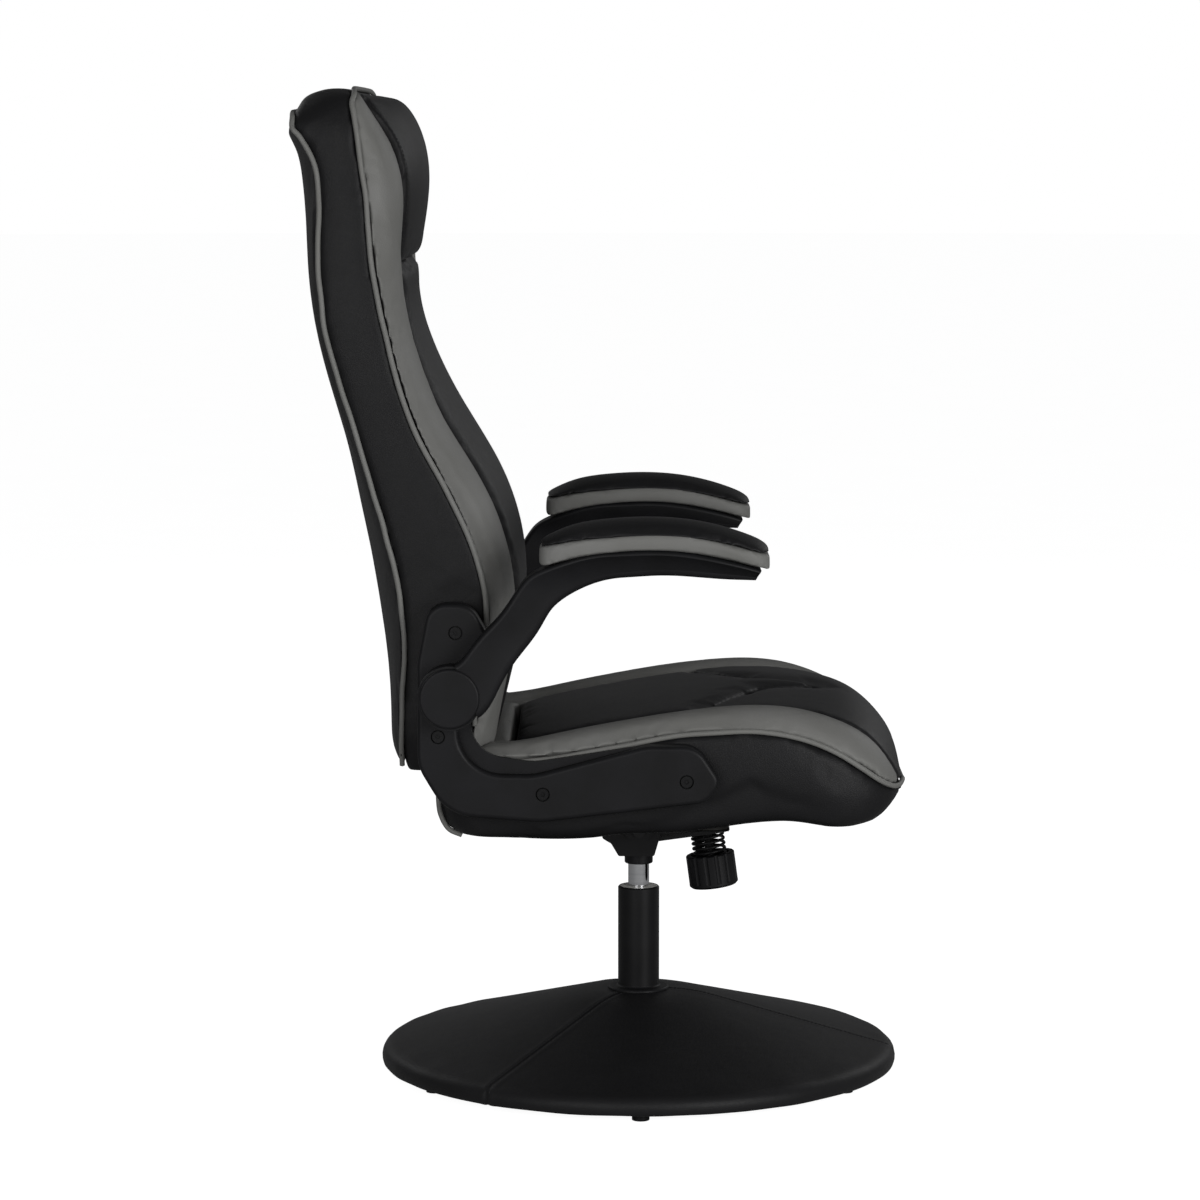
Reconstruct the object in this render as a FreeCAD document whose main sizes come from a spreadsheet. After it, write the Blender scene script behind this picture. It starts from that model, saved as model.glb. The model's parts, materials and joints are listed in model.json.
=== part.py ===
import FreeCAD, Part
import math
import os
import Sketcher
from FreeCAD import Rotation, Vector

# Pedestal rocker chair, in millimetres.
# Origin on the floor on the column's axis, +X to the chair's front, +Y to its left, +Z up.

doc = FreeCAD.newDocument("pedestal_rocker")
sheet = doc.addObject("Spreadsheet::Sheet", "Dims")

DRIVING_DIMENSIONS = {
    # Covered disc base
    "base_radius": 305.5,
    "base_underside": 9.8,
    "cover_skin": 1.6,
    "shell_wall": 7.0,
    "plate_thick": 6.0,
    "plate_radius": 296.0,
    "crown_height": 95.0,
    "rim_wall_top": 20.5,
    "rim_edge_radius": 299.0,
    "rim_edge_height": 30.0,
    "eave_radius": 285.0,
    "eave_height": 35.0,
    "shoulder_radius": 104.0,
    "shoulder_height": 83.2,
    "crown_flat_radius": 48.0,
    "turn_under_radius": 248.0,
    # Glides under the rim
    "glide_ring_radius": 275.0,
    "glide_radius": 10.0,
    "glide_chamfer": 0.4,
    "glide_stud_radius": 3.0,
    "glide_count": 6.0,
    # Column and swivel post
    "column_radius": 24.5,
    "column_bore_radius": 22.0,
    "column_top": 218.5,
    "column_foot": 17.4,
    "foot_flange_radius": 62.0,
    "foot_flange_thick": 6.0,
    "post_radius": 12.5,
    "post_bottom": 36.0,
    "post_shoulder": 246.0,
    "post_top": 279.0,
    "post_tip_radius": 11.6,
    "running_gap": 0.05,
    "collar_radius": 16.8,
    "collar_height": 14.0,
    "bush_length": 20.0,
    "foot_ring_radius": 36.0,
    # Tilt mechanism
    "bowl_bottom": 260.0,
    "bowl_half_width": 38.0,
    "bowl_wall": 5.0,
    "pivot_height": 291.0,
    "pivot_radius": 6.0,
    "ear_gap": 1.0,
    "ear_thick": 4.0,
    "plate_under": 318.0,
    "top_plate_thick": 4.0,
    "lug_half_width": 30.0,
    # Tension spring and knob, on an axis that leans to the front
    "knob_lean": 7.8,
    "knob_top_x": 84.6,
    "knob_top_z": 257.4,
    "knob_radius": 29.0,
    "knob_height": 39.0,
    "knob_cup_radius": 23.0,
    "knob_cup_depth": 26.0,
    "knob_flutes": 14.0,
    "stud_radius": 5.0,
    "spring_mean_radius": 18.5,
    "spring_wire": 3.6,
    "spring_turns": 8.0,
    "spring_length": 51.2,
    # Seat
    "seat_half_width": 254.0,
    "seat_board_half_width": 230.0,
    "seat_board_rear": -195.0,
    "seat_board_front": 100.0,
    "seat_board_thick": 18.0,
    "dust_cover_thick": 1.5,
    "rail_width": 28.0,
    "pad_depth": 22.0,
    # Back
    "back_board_thick": 14.0,
    "back_board_half_width": 205.0,
    "piping_radius": 3.0,
    "piping_clearance": 0.4,
    "groove_gap": 0.2,
    # Side brackets, hubs and arms
    "bracket_inner": 259.5,
    "bracket_thick": 24.0,
    "ledge_thick": 10.0,
    "bracket_edge": 5.0,
    "hub_x": -213.0,
    "hub_z": 485.0,
    "hub_radius": 36.0,
    "hub_gap": 1.0,
    "hub_pin_radius": 6.0,
    "hub_cap_radius": 33.5,
    "hub_cap_thick": 6.0,
    "arm_hub_thick": 27.0,
    "arm_centre": 301.0,
    "bolt_recess_radius": 8.0,
    "bolt_recess_depth": 5.0,
    "bolt_shank_radius": 4.0,
}

for row, (alias, number) in enumerate(DRIVING_DIMENSIONS.items(), start=1):
    sheet.set(f"A{row}", alias)
    sheet.set(f"B{row}", str(number))
    sheet.setAlias(f"B{row}", alias)
doc.recompute()

X_AXIS = Vector(1, 0, 0)
Y_AXIS = Vector(0, 1, 0)
Z_AXIS = Vector(0, 0, 1)
ORIGIN = Vector(0, 0, 0)
LEFT = 1
RIGHT = -1
SIDES = {"left": LEFT, "right": RIGHT}

nodes = {}


def dim(alias):
    """The present value of one driving dimension."""
    return float(sheet.get(alias))


def value(formula):
    """The number that a formula on the sheet gives."""
    return float(sheet.evalExpression(formula))


def keep(label, item):
    """Name an object as one sub-part of the chair."""
    item.Label = label
    nodes[label] = item
    return item


def solid_feature(label, shape):
    """A sub-part whose shape is worked out here from the sheet."""
    item = doc.addObject("Part::Feature", label)
    item.Shape = shape
    return keep(label, item)


def helper(kind, name, **formulas):
    """A Part object whose properties follow formulas on the sheet."""
    item = doc.addObject(kind, name)
    for prop, formula in formulas.items():
        item.setExpression(prop.replace("__", "."), formula)
    return item


def cylinder(name, radius, height, x="0", y="0", z="0", direction=Z_AXIS):
    """A Part cylinder from formulas, standing on (x, y, z) along direction."""
    item = helper("Part::Cylinder", name, Radius=radius, Height=height)
    item.Placement = FreeCAD.Placement(ORIGIN, Rotation(Z_AXIS, direction))
    item.setExpression("Placement.Base.x", x)
    item.setExpression("Placement.Base.y", y)
    item.setExpression("Placement.Base.z", z)
    return item


def origin_plane(body, role):
    """One of a body's own origin planes."""
    for feature in body.Origin.OriginFeatures:
        if feature.Role == role:
            return feature
    raise RuntimeError("no plane " + role)


def sketch_outline(body, name, role, corners):
    """A closed outline on an origin plane.

    Each corner is (across, up) or (across, up, bend): formulas, where bend is the radius of
    an arc to the next corner, positive when its centre lies left of the way round.
    """
    sketch = body.newObject("Sketcher::SketchObject", name)
    sketch.AttachmentSupport = [(origin_plane(body, role), "")]
    sketch.MapMode = "FlatFace"
    spots = [Vector(value(corner[0]), value(corner[1]), 0) for corner in corners]
    ends = []
    for index, corner in enumerate(corners):
        start = spots[index]
        finish = spots[(index + 1) % len(spots)]
        if len(corner) == 2:
            sketch.addGeometry(Part.LineSegment(start, finish))
            ends.append((1, 2))
            continue
        bend = value(corner[2])
        chord = finish - start
        reach = math.sqrt(bend * bend - chord.Length * chord.Length / 4)
        side = 1 if bend > 0 else -1
        normal = Vector(-chord.y, chord.x, 0).normalize()
        centre = (start + finish) * 0.5 + normal * (side * reach)
        first, last = (start, finish) if bend > 0 else (finish, start)
        begin = math.atan2(first.y - centre.y, first.x - centre.x)
        stop = math.atan2(last.y - centre.y, last.x - centre.x)
        if stop <= begin:
            stop += 2 * math.pi
        circle = Part.Circle(centre, Z_AXIS, abs(bend))
        sketch.addGeometry(Part.ArcOfCircle(circle, begin, stop))
        ends.append((1, 2) if bend > 0 else (2, 1))
    for index, corner in enumerate(corners):
        following = (index + 1) % len(corners)
        joined = Sketcher.Constraint("Coincident", index, ends[index][1], following, ends[following][0])
        sketch.addConstraint(joined)
    for index, corner in enumerate(corners):
        for kind, formula, amount in (("DistanceX", corner[0], spots[index].x),
                                      ("DistanceY", corner[1], spots[index].y)):
            limit = Sketcher.Constraint(kind, -1, 1, index, ends[index][0], amount)
            sketch.setExpression(f"Constraints[{sketch.addConstraint(limit)}]", formula)
        if len(corner) == 3:
            limit = Sketcher.Constraint("Radius", index, abs(value(corner[2])))
            sketch.setExpression(f"Constraints[{sketch.addConstraint(limit)}]", f"abs({corner[2]})")
    doc.recompute()
    return sketch


def reversed_line(corners):
    """The same run of corners walked the other way, each bend kept on its own stretch."""
    walked = []
    for index in range(len(corners) - 1, -1, -1):
        spot = corners[index][:2]
        stretch = corners[index - 1] if index > 0 else spot
        if len(stretch) == 3:
            spot = spot + (f"-({stretch[2]})",)
        walked.append(spot)
    return walked


def revolve(body, name, corners):
    """Turn an outline of (radius, height) corners about the Z axis."""
    sketch = sketch_outline(body, name + "_outline", "XZ_Plane", corners)
    feature = body.newObject("PartDesign::Revolution", name)
    feature.Profile = sketch
    feature.ReferenceAxis = (sketch, ["V_Axis"])
    feature.Angle = 360
    doc.recompute()
    return feature


def revolved_body(label, corners):
    """A body that is one turned outline."""
    body = doc.addObject("PartDesign::Body", label)
    revolve(body, label + "_turned", corners)
    return keep(label, body)


def arc(start, middle, finish):
    return Part.Arc(start, middle, finish).toShape()


def line(start, finish):
    return Part.LineSegment(start, finish).toShape()


def rounded_wire(corners):
    """A closed flat wire in the XZ plane from (x, z, corner radius)."""
    count = len(corners)
    starts = []
    edges = []
    for index, (x, z, radius) in enumerate(corners):
        corner = Vector(x, 0, z)
        before = Vector(corners[index - 1][0], 0, corners[index - 1][1]) - corner
        after = Vector(corners[(index + 1) % count][0], 0, corners[(index + 1) % count][1]) - corner
        before.normalize()
        after.normalize()
        half_angle = before.getAngle(after) / 2
        run = radius / math.tan(half_angle)
        bisector = (before + after).normalize()
        deep = radius / math.sin(half_angle) - radius
        starts.append((corner + before * run, corner + bisector * deep, corner + after * run))
    for index in range(count):
        first, middle, last = starts[index]
        edges.append(arc(first, middle, last))
        edges.append(line(last, starts[(index + 1) % count][0]))
    return Part.Wire(edges)


def slab(wire, near, far):
    """A flat XZ wire given thickness from Y = near to Y = far."""
    face = Part.Face(wire)
    face.translate(Vector(0, near, 0))
    return face.extrude(Vector(0, far - near, 0))


def mirrored(shape):
    """The same shape on the other side of the chair's middle plane."""
    return shape.mirror(ORIGIN, Y_AXIS)


def mirrored_spot(spot):
    """The same point on the other side of the chair's middle plane."""
    return Vector(spot.x, -spot.y, spot.z)


def on_side(shape, side):
    """A shape drawn for the left side, on the side asked for."""
    return shape if side == LEFT else mirrored(shape)


def loft(wires):
    """A smooth closed solid through wires that share one layout."""
    made = Part.makeLoft(wires, True, False)
    if made.Volume < 0:
        made.reverse()
    return made


def sheet_curve(spots):
    """A smooth curve in the XZ plane through (x, z) spots."""
    curve = Part.BSplineCurve()
    curve.interpolate([Vector(x, 0, z) for x, z in spots])
    return curve.toShape()


def beyond_curve(spots, far_corners, half_width):
    """The solid between a smooth XZ curve and far corners, across the chair."""
    curve = sheet_curve(spots)
    closing = [Vector(spots[-1][0], 0, spots[-1][1])]
    closing += [Vector(x, 0, z) for x, z in far_corners]
    closing.append(Vector(spots[0][0], 0, spots[0][1]))
    edges = [curve]
    for index in range(len(closing) - 1):
        edges.append(line(closing[index], closing[index + 1]))
    return slab(Part.Wire(edges), -half_width, half_width)


def tube_along(spots, radius):
    """A round tube on straight runs joined by tangent arcs, through the given spots."""
    edges = []
    last = spots[0]
    for index in range(1, len(spots) - 1):
        corner = spots[index]
        before = spots[index - 1] - corner
        after = spots[index + 1] - corner
        run = 0.45 * min(before.Length, after.Length)
        before.normalize()
        after.normalize()
        half_angle = before.getAngle(after) / 2
        bisector = (before + after).normalize()
        centre_way = run / math.cos(half_angle)
        bend = run * math.tan(half_angle)
        start = corner + before * run
        finish = corner + after * run
        edges.append(line(last, start))
        edges.append(arc(start, corner + bisector * (centre_way - bend), finish))
        last = finish
    edges.append(line(last, spots[-1]))
    path = Part.Wire(edges)
    along = (spots[1] - spots[0]).normalize()
    section = Part.Wire([Part.makeCircle(radius, spots[0], along)])
    return path.makePipeShell([section], True, False)


def knob_spot(down, sideways=0.0):
    """A point on the knob's leaning axis, measured down from the knob's top face."""
    lean = math.radians(dim("knob_lean"))
    x = dim("knob_top_x") + down * math.sin(lean)
    z = dim("knob_top_z") - down * math.cos(lean)
    return Vector(x, sideways, z)


def knob_axis():
    """The leaning axis, pointing down and to the front."""
    lean = math.radians(dim("knob_lean"))
    return Vector(math.sin(lean), 0, -math.cos(lean))


# The covered disc base


def dome_line(depth):
    """The dome's profile from crown to rim, sunk by a formula for depth."""
    return [
        ("Dims.foot_ring_radius - 10", f"Dims.crown_height - ({depth})"),
        ("Dims.crown_flat_radius", f"Dims.crown_height - 0.7 - ({depth})", f"-400 + ({depth})"),
        (f"Dims.shoulder_radius - 0.27 * ({depth})", f"Dims.shoulder_height - ({depth})"),
        (f"Dims.eave_radius - 0.27 * ({depth})", f"Dims.eave_height - ({depth})", f"-50 + ({depth})"),
        (f"Dims.rim_edge_radius - 0.5 * ({depth})", f"Dims.rim_edge_height - ({depth})",
         f"-9 + 0.6 * ({depth})"),
        (f"Dims.base_radius - ({depth})", "Dims.rim_wall_top"),
    ]


def base_shell():
    """Moulded dome that gives the base its form."""
    skin = "Dims.cover_skin"
    inside_radius = f"Dims.base_radius - {skin} - Dims.shell_wall"
    depth = f"{skin} - Dims.shell_wall"
    inside = [
        (f"Dims.base_radius - {skin}", f"Dims.base_underside + {skin}"),
        (inside_radius, f"Dims.base_underside + {skin}"),
        (inside_radius, "Dims.rim_wall_top - 2"),
        ("Dims.eave_radius - 4", f"Dims.eave_height - {depth}"),
        ("Dims.shoulder_radius - 4", f"Dims.shoulder_height - {depth}"),
        ("Dims.foot_ring_radius - 10", f"Dims.crown_height - 3 - {depth}"),
    ]
    return revolved_body("base_shell", dome_line(skin) + inside)


def base_weight_plate():
    """Steel disc that keeps the chair upright; the glides' studs pass through it."""
    body = doc.addObject("PartDesign::Body", "base_weight_plate")
    low = "Dims.base_underside + Dims.cover_skin"
    high = low + " + Dims.plate_thick"
    revolve(body, "weight_disc", [
        ("Dims.plate_radius - 1", low),
        ("Dims.plate_radius", low + " + 1"),
        ("Dims.plate_radius", high),
        ("0", high),
        ("0", low),
    ])
    sketch = body.newObject("Sketcher::SketchObject", "stud_hole_outline")
    sketch.AttachmentSupport = [(origin_plane(body, "XY_Plane"), "")]
    sketch.MapMode = "FlatFace"
    hole = Part.Circle(Vector(0, -dim("glide_ring_radius"), 0), Z_AXIS, dim("glide_stud_radius"))
    sketch.addGeometry(hole)
    sketch.addConstraint(Sketcher.Constraint("PointOnObject", 0, 3, -2))
    reach = sketch.addConstraint(Sketcher.Constraint("DistanceY", 0, 3, -1, 1, dim("glide_ring_radius")))
    sketch.setExpression(f"Constraints[{reach}]", "Dims.glide_ring_radius")
    size = sketch.addConstraint(Sketcher.Constraint("Radius", 0, dim("glide_stud_radius")))
    sketch.setExpression(f"Constraints[{size}]", "Dims.glide_stud_radius")
    before = body.Shape.Volume
    pocket = body.newObject("PartDesign::Pocket", "stud_hole")
    pocket.Profile = sketch
    pocket.Type = "ThroughAll"
    pocket.Reversed = True
    doc.recompute()
    pattern = body.newObject("PartDesign::PolarPattern", "stud_holes")
    pattern.Originals = [pocket]
    pattern.Axis = (sketch, ["N_Axis"])
    pattern.Angle = 360
    pattern.Occurrences = int(dim("glide_count"))
    body.Tip = pattern
    doc.recompute()
    if body.Shape.Volume >= before:
        raise RuntimeError("the stud holes cut nothing")
    return keep("base_weight_plate", body)


def base_cover_panels():
    """Leatherette cover in three sewn panels, turned under the rim."""
    seam_angles = [-5.0, 115.0, 235.0]
    outline_body = doc.addObject("PartDesign::Body", "cover_form")
    skin = "Dims.cover_skin"
    turn_under = [
        ("Dims.base_radius", "Dims.base_underside"),
        ("Dims.turn_under_radius", "Dims.base_underside"),
        ("Dims.turn_under_radius", f"Dims.base_underside + {skin}"),
        (f"Dims.base_radius - {skin}", f"Dims.base_underside + {skin}"),
    ]
    under_side = reversed_line(dome_line(skin))
    revolve(outline_body, "cover_turned", dome_line("0") + turn_under + under_side)
    whole = outline_body.Shape.copy()
    for place in glide_places():
        whole = whole.cut(Part.makeCylinder(dim("glide_stud_radius"), 4, place, Z_AXIS))
    panels = []
    reach = dim("base_radius") + 20
    for angle in seam_angles:
        wedge = Part.makeCylinder(reach, dim("crown_height") + 10, ORIGIN, Z_AXIS, 120)
        wedge.rotate(ORIGIN, Z_AXIS, angle)
        panels.append(whole.common(wedge))
    return solid_feature("base_cover_panels", Part.makeCompound(panels))


def glide_places():
    """Where the glides' studs enter the cover's turned-under edge."""
    places = []
    count = int(dim("glide_count"))
    for index in range(count):
        angle = math.radians(-90 + 360 * index / count)
        place = Vector(math.cos(angle), math.sin(angle), 0) * dim("glide_ring_radius")
        places.append(place + Z_AXIS * dim("base_underside"))
    return places


def glides():
    """Six screw-in glides, and the nuts that hold them on the weight plate."""
    feet = []
    nuts = []
    stud_length = dim("cover_skin") + dim("plate_thick") + 7
    nut_thick = 5
    for place in glide_places():
        floor_spot = Vector(place.x, place.y, 0)
        puck = Part.makeCylinder(dim("glide_radius"), dim("base_underside"), floor_spot)
        low_edges = [edge for edge in puck.Edges if edge.BoundBox.ZMax < 0.1 and edge.Length > 10]
        puck = puck.makeChamfer(dim("glide_chamfer"), low_edges)
        stud = Part.makeCylinder(dim("glide_stud_radius"), stud_length, place)
        feet.append(puck.fuse(stud))
        seat = place + Z_AXIS * (dim("cover_skin") + dim("plate_thick"))
        nuts.append(hex_block(seat, Z_AXIS, 5.5, nut_thick).cut(stud))
    solid_feature("glide_feet", Part.makeCompound(feet))
    solid_feature("glide_nuts", Part.makeCompound(nuts))


def hex_block(spot, direction, flat_radius, thick):
    """A hexagonal block standing on a spot."""
    corner = flat_radius / math.cos(math.pi / 6)
    points = []
    for index in range(7):
        angle = math.pi / 3 * index
        points.append(Vector(corner * math.cos(angle), corner * math.sin(angle), 0))
    block = Part.Face(Part.makePolygon(points)).extrude(Z_AXIS * thick)
    block.Placement = FreeCAD.Placement(spot, Rotation(Z_AXIS, direction))
    return block


def column_tube():
    """Column with the flange that it stands on welded to its foot."""
    return revolved_body("column_tube", [
        ("Dims.column_bore_radius", "Dims.column_foot"),
        ("Dims.foot_flange_radius", "Dims.column_foot"),
        ("Dims.foot_flange_radius", "Dims.column_foot + Dims.foot_flange_thick"),
        ("Dims.column_radius", "Dims.column_foot + Dims.foot_flange_thick"),
        ("Dims.column_radius", "Dims.column_top - 1.5"),
        ("Dims.column_radius - 1.5", "Dims.column_top"),
        ("Dims.column_bore_radius", "Dims.column_top"),
    ])


def column_foot_ring():
    """Trim ring where the column comes out of the cover."""
    return revolved_body("column_foot_ring", [
        ("Dims.column_radius", "Dims.crown_height"),
        ("Dims.foot_ring_radius", "Dims.crown_height"),
        ("Dims.foot_ring_radius", "Dims.crown_height + 1", "3"),
        ("Dims.foot_ring_radius - 3", "Dims.crown_height + 3.5"),
        ("Dims.column_radius + 4", "Dims.crown_height + 3.5", "-3"),
        ("Dims.column_radius", "Dims.crown_height + 5.5"),
    ])


def flange_bolts():
    """Four hexagon bolts from the column's flange into the weight plate."""
    bolts = []
    top = dim("column_foot") + dim("foot_flange_thick")
    for index in range(4):
        angle = math.radians(45 + 90 * index)
        spot = Vector(math.cos(angle), math.sin(angle), 0) * 45 + Z_AXIS * top
        bolts.append(hex_block(spot, Z_AXIS, 6.5, 5.5))
    return solid_feature("flange_bolts", Part.makeCompound(bolts))


def column_bushes():
    """Plastic bushes that guide the swivel post in the column."""
    low_bush = Part.makeCylinder(dim("column_bore_radius"), dim("bush_length"), Z_AXIS * 60)
    top_start = dim("column_top") - dim("bush_length")
    high_bush = Part.makeCylinder(dim("column_bore_radius"), dim("bush_length"), Z_AXIS * top_start)
    bore = Part.makeCylinder(dim("post_radius") + dim("running_gap"), dim("column_top"), ORIGIN)
    return solid_feature("column_bushes", Part.makeCompound([low_bush.cut(bore), high_bush.cut(bore)]))


def thrust_bearing():
    """Races and caged balls that carry the swivel post's foot."""
    seat_top = dim("column_foot") + 8
    race_thick = 3.0
    ball_radius = 2.45
    ball_gap = 0.05
    lower_top = seat_top + race_thick
    upper_low = lower_top + 2 * (ball_radius + ball_gap)
    seat = cylinder("bearing_seat", "Dims.column_bore_radius", "8", z="Dims.column_foot")
    keep("bearing_seat", seat)
    hole = Part.makeCylinder(6, race_thick, Z_AXIS * seat_top)
    solid_feature("bearing_race_lower", Part.makeCylinder(20, race_thick, Z_AXIS * seat_top).cut(hole))
    cage = Part.makeCylinder(19.5, 1.6, Z_AXIS * (lower_top + ball_radius - 0.75))
    cage = cage.cut(Part.makeCylinder(9, 10, Z_AXIS * lower_top))
    for index in range(10):
        angle = 2 * math.pi * index / 10
        spot = Vector(14.5 * math.cos(angle), 14.5 * math.sin(angle), lower_top + ball_radius + ball_gap)
        cage = cage.fuse(Part.makeSphere(ball_radius, spot))
    solid_feature("bearing_ball_cage", cage)
    top_thick = dim("post_bottom") - upper_low
    race = Part.makeCylinder(20, top_thick, Z_AXIS * upper_low)
    solid_feature("bearing_race_upper", race.cut(Part.makeCylinder(6, top_thick, Z_AXIS * upper_low)))


# The swivel post and the tilt mechanism


def swivel_post():
    """Polished post that turns in the column, with a groove for its snap ring."""
    body = revolved_body("swivel_post", [
        ("0", "Dims.post_bottom"),
        ("Dims.post_radius", "Dims.post_bottom"),
        ("Dims.post_radius", "56"),
        ("Dims.post_radius - 1.5", "56"),
        ("Dims.post_radius - 1.5", "57.6"),
        ("Dims.post_radius", "57.6"),
        ("Dims.post_radius", "Dims.post_shoulder + Dims.collar_height"),
        ("Dims.post_tip_radius", "Dims.post_top"),
        ("0", "Dims.post_top"),
    ])
    ring = Part.makeCylinder(17, 1.6, Z_AXIS * 56)
    ring = ring.cut(Part.makeCylinder(dim("post_radius") - 1.5, 1.6, Z_AXIS * 56))
    solid_feature("post_snap_ring", ring.cut(Part.makeBox(6, 30, 1.6, Vector(-3, 0, 56))))
    return body


def post_collar():
    """Short sleeve under the mechanism."""
    return revolved_body("post_collar", [
        ("Dims.post_radius", "Dims.post_shoulder"),
        ("Dims.collar_radius - 1", "Dims.post_shoulder"),
        ("Dims.collar_radius", "Dims.post_shoulder + 1"),
        ("Dims.collar_radius", "Dims.post_shoulder + Dims.collar_height"),
        ("Dims.post_radius", "Dims.post_shoulder + Dims.collar_height"),
    ])


def mechanism_bowl():
    """Pressed bowl on the post, with the leaning lug that the spring pushes on."""
    half = dim("bowl_half_width")
    wall = dim("bowl_wall")
    low = dim("bowl_bottom")
    pivot = dim("pivot_height")
    outline = [
        (-24, low, 3), (18, low, 3), (25, low + 24, 6), (25, pivot + 9, 3),
        (-6, pivot + 9, 12), (-45, pivot + 2, 3), (-43, low + 21, 3), (-33, low + 15, 4),
    ]
    block = slab(rounded_wire(outline), -half, half)
    floor = low + 14
    hollow = [
        (-20, floor, 3), (18, floor, 3), (18, pivot + 20, 3), (-38, pivot + 20, 3), (-38, floor + 9, 3),
    ]
    block = block.cut(slab(rounded_wire(hollow), -(half - wall), half - wall))
    lean = math.radians(dim("knob_lean"))
    seat = knob_spot(dim("knob_cup_depth") - 2 - dim("spring_length"))
    front = Vector(math.cos(lean), 0, math.sin(lean))
    up = knob_axis() * -1
    lug_thick = 5.0
    back_run = 62.0
    front_run = 27.0
    corners = [seat - front * back_run, seat + front * front_run]
    corners += [corners[1] + up * lug_thick, corners[0] + up * lug_thick]
    lug = Part.Face(Part.makePolygon(corners + corners[:1]))
    lug.translate(Vector(0, -dim("lug_half_width"), 0))
    lug = lug.extrude(Y_AXIS * 2 * dim("lug_half_width"))
    tall = [edge for edge in lug.Edges
            if abs(edge.tangentAt(edge.FirstParameter).dot(up)) > 0.99 and edge.BoundBox.XMax > seat.x]
    lug = lug.makeFillet(14, tall)
    room = Part.makeBox(56, 2 * (half - wall), 30, Vector(-38, -(half - wall), floor + 9))
    lug = lug.cut(room)
    block = block.fuse(lug)
    slot_radius = 8.5
    slot_run = 8.0
    for ahead in (-1, slot_run):
        slot_end = seat + front * ahead - knob_axis() * 15
        block = block.cut(Part.makeCylinder(slot_radius, 30, slot_end, knob_axis()))
    sides = Part.makeBox(slot_run + 1, 2 * slot_radius, 30, Vector(-1, -slot_radius, -15))
    sides.Placement = FreeCAD.Placement(seat, Rotation(Y_AXIS, -dim("knob_lean")))
    block = block.cut(sides)
    block = block.cut(nodes["swivel_post"].Shape)
    pin_hole = Part.makeCylinder(dim("pivot_radius"), 2 * half, Vector(0, -half, pivot), Y_AXIS)
    return solid_feature("mechanism_bowl", block.cut(pin_hole).removeSplitter())


def rock_pivot():
    """Pivot pin fixed in the bowl, with a head at each end outside the ears."""
    half = dim("bowl_half_width") + dim("ear_gap") + dim("ear_thick") + dim("ear_gap")
    head = 3.0
    pivot = dim("pivot_height")
    shank = Part.makeCylinder(dim("pivot_radius"), 2 * half, Vector(0, -half, pivot), Y_AXIS)
    rim = dim("pivot_radius") + 1.5
    ends = [Part.makeCylinder(rim, head, Vector(0, half, pivot), Y_AXIS),
            Part.makeCylinder(rim, head, Vector(0, -half - head, pivot), Y_AXIS)]
    return solid_feature("rock_pivot_pin", shank.multiFuse(ends))


def rock_stop_pad():
    """Rubber pad that the seat plate comes down on at the front."""
    gap = 0.3
    top = dim("plate_under") - gap
    low = dim("pivot_height") + 9
    pad = Part.makeBox(8, 46, top - low, Vector(15, -23, low))
    return solid_feature("rock_stop_pad", pad)


def mechanism_plate():
    """Seat plate with two ears that hang outside the bowl on the pivot pin."""
    inner = dim("bowl_half_width") + dim("ear_gap")
    outer = inner + dim("ear_thick")
    pivot = dim("pivot_height")
    low = dim("plate_under")
    plate_outline = [(-98, -78, 14), (92, -78, 14), (92, 78, 14), (-98, 78, 14)]
    face = Part.Face(rounded_wire(plate_outline))
    face.rotate(ORIGIN, X_AXIS, -90)
    plate = face.extrude(Z_AXIS * dim("top_plate_thick"))
    plate.translate(Z_AXIS * low)
    ear = [(-30, low + 1, 1), (30, low + 1, 1), (13, pivot - 12, 12), (-13, pivot - 12, 12)]
    for side in SIDES.values():
        plate = plate.fuse(on_side(slab(rounded_wire(ear), inner, outer), side))
    hole_radius = dim("pivot_radius") + dim("running_gap")
    plate = plate.cut(Part.makeCylinder(hole_radius, 200, Vector(0, -100, pivot), Y_AXIS))
    for spot in plate_bolt_spots():
        plate = plate.cut(Part.makeCylinder(3, 20, spot))
    return solid_feature("mechanism_plate", plate.removeSplitter())


def plate_bolt_spots():
    """Where the bolts' shanks enter the seat plate from below."""
    return [Vector(x, y, dim("plate_under")) for x in (-80, 74) for y in (-60, 60)]


def mechanism_bolts():
    """Four bolts from the seat plate up into the seat board."""
    bolts = []
    length = dim("top_plate_thick") + dim("dust_cover_thick") + dim("seat_board_thick") - 3
    for spot in plate_bolt_spots():
        head = hex_block(spot - Z_AXIS * 4, Z_AXIS, 5, 4)
        bolts.append(head.fuse(Part.makeCylinder(3, length, spot)))
    return solid_feature("mechanism_bolts", Part.makeCompound(bolts))


def tension_stud():
    """Leaning threaded stud that hangs from the seat plate through the spring."""
    tip = 33.0
    top = knob_spot(-70)
    shank = Part.makeCylinder(dim("stud_radius"), 70 + tip, top, knob_axis())
    boss = Part.makeCone(13, 8, 9, top + knob_axis() * 3.0, knob_axis())
    stud = shank.fuse(boss)
    above = Part.makeBox(80, 80, 40, Vector(top.x - 40, -40, dim("plate_under")))
    return solid_feature("tension_stud", stud.cut(above))


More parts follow.
